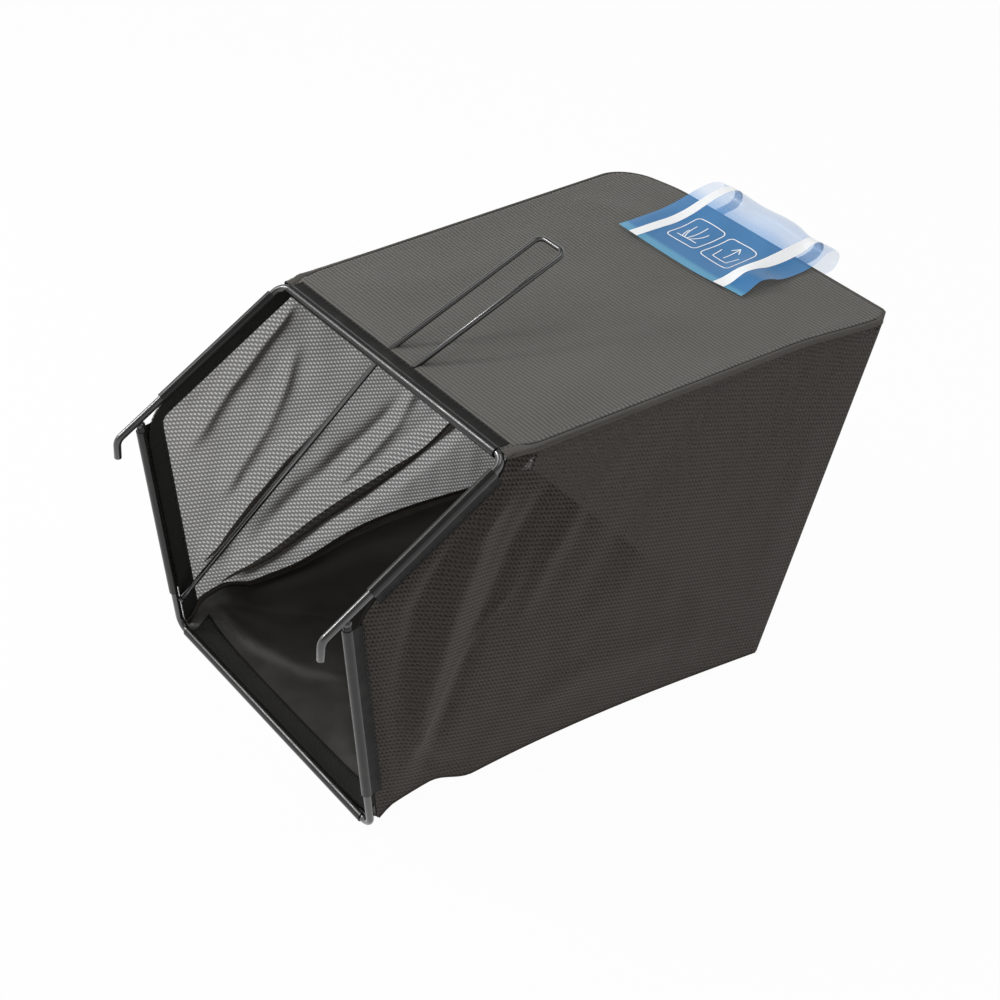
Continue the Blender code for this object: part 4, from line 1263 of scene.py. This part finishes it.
def printed(name, bands, ink):
    """Flat print on the film: each band is a line of (x, distance) points and a width."""
    made = bmesh.new()
    for line, width, closed in bands:
        points = [Vector(p) for p in line]
        if closed:
            points.append(points[0])
        fine = [points[0]]
        for a, b in zip(points, points[1:]):
            count = max(int((b - a).length / PRINT_STEP), 1)
            fine += [a.lerp(b, step / count) for step in range(1, count + 1)]
        rails = []
        for at, point in enumerate(fine):
            before = fine[at - 1] if at else (fine[-2] if closed else fine[0])
            after = fine[at + 1] if at + 1 < len(fine) else (fine[1] if closed else fine[-1])
            way = (after - before).normalized()
            aside = Vector((way.y, -way.x)) * width / 2
            spots = [on_film(*(point + aside * share), PRINT_LIFT) for share in (-1, -0.33, 0.33, 1)]
            rails.append([made.verts.new(spot) for spot in spots])
        for low, high in zip(rails, rails[1:]):
            for corners in zip(low, low[1:], high[1:], high):
                made.faces.new(corners)
    return finish_mesh(name, written(name, made), ink)


def rounded_frame(x, distance, half, corner, steps=5):
    points = []
    for turn, (sx, sy) in enumerate(((1, 1), (-1, 1), (-1, -1), (1, -1))):
        for step in range(steps + 1):
            angle = math.pi / 2 * (turn + step / steps)
            points.append((x + sx * (half - corner) + corner * math.cos(angle),
                           distance + sy * (half - corner) + corner * math.sin(angle)))
    return points


def blade(x, distance, length, lean, bow):
    shares = (0, 0.2, 0.4, 0.6, 0.8, 1.0)
    return [(x + lean * t + bow * math.sin(math.pi * t), distance + length * t) for t in shares]


def build_flap():
    film, ink = blue_film(), white_print()
    places = spread(-FLAP_HALF_WIDTH, FLAP_HALF_WIDTH, 40)
    rows = [[film_point(x, share) for x in places] for share in spread(0.0, 1.0, 96)]
    sheet = grid("film_flap", rows, film, ["level_flap"])
    stripes = []
    for x, width in ((-0.0605, 0.0110), (0.0535, 0.0125)):
        stripes.append(([(x, 0.0), (x, STRIPE_LENGTH)], width, False))
    stripe_print = printed("film_stripes", stripes, ink)
    thin, middle = 0.0011, 0.047
    tuft, arrow = -0.026, 0.020
    marks = [
        (rounded_frame(tuft, middle, 0.0195, 0.005), thin, True),
        (rounded_frame(arrow, middle, 0.0195, 0.005), thin, True),
        ([(tuft - 0.013, middle - 0.011), (tuft + 0.013, middle - 0.011)], thin, False),
        (blade(tuft - 0.003, middle - 0.011, 0.020, -0.006, -0.002), thin, False),
        (blade(tuft, middle - 0.011, 0.024, 0.001, 0.001), thin, False),
        (blade(tuft + 0.003, middle - 0.011, 0.018, 0.007, 0.002), thin, False),
        (blade(tuft - 0.006, middle - 0.011, 0.012, -0.004, -0.001), thin, False),
        ([(arrow - 0.012, middle + 0.002), (arrow - 0.009, middle - 0.012), (arrow + 0.009, middle - 0.012),
          (arrow + 0.012, middle + 0.002)], thin, False),
        ([(arrow, middle - 0.007), (arrow, middle + 0.013)], thin, False),
        ([(arrow - 0.005, middle + 0.007), (arrow, middle + 0.013), (arrow + 0.005, middle + 0.007)],
         thin, False),
    ]
    mark_print = printed("film_marks", marks, ink)


def build():
    set_stage()
    tape = tape_cloth("woven_tape", (0.0095, 0.0090, 0.0085), (0.018, 0.017, 0.016), (0.032, 0.030, 0.028))
    rolled = tape_cloth("rolled_mesh_edge", (0.030, 0.025, 0.020), (0.044, 0.037, 0.030), (0.07, 0.06, 0.05))
    thread = sewing_thread("black_sewing_thread", (0.016, 0.014, 0.012), (0.055, 0.050, 0.045))
    pale_thread = sewing_thread("grey_sewing_thread", (0.150, 0.145, 0.130), (0.260, 0.252, 0.235))
    build_wires(wire_paint())
    extruded, flange = (("extruded_black_plastic", 0.18, 0.5), ("matte_black_flange", 0.55, 0.22))
    build_clips((clip_plastic(*extruded), clip_plastic(*flange)), thread)
    build_bag(tape, rolled, thread, pale_thread)
    build_flap()


build()
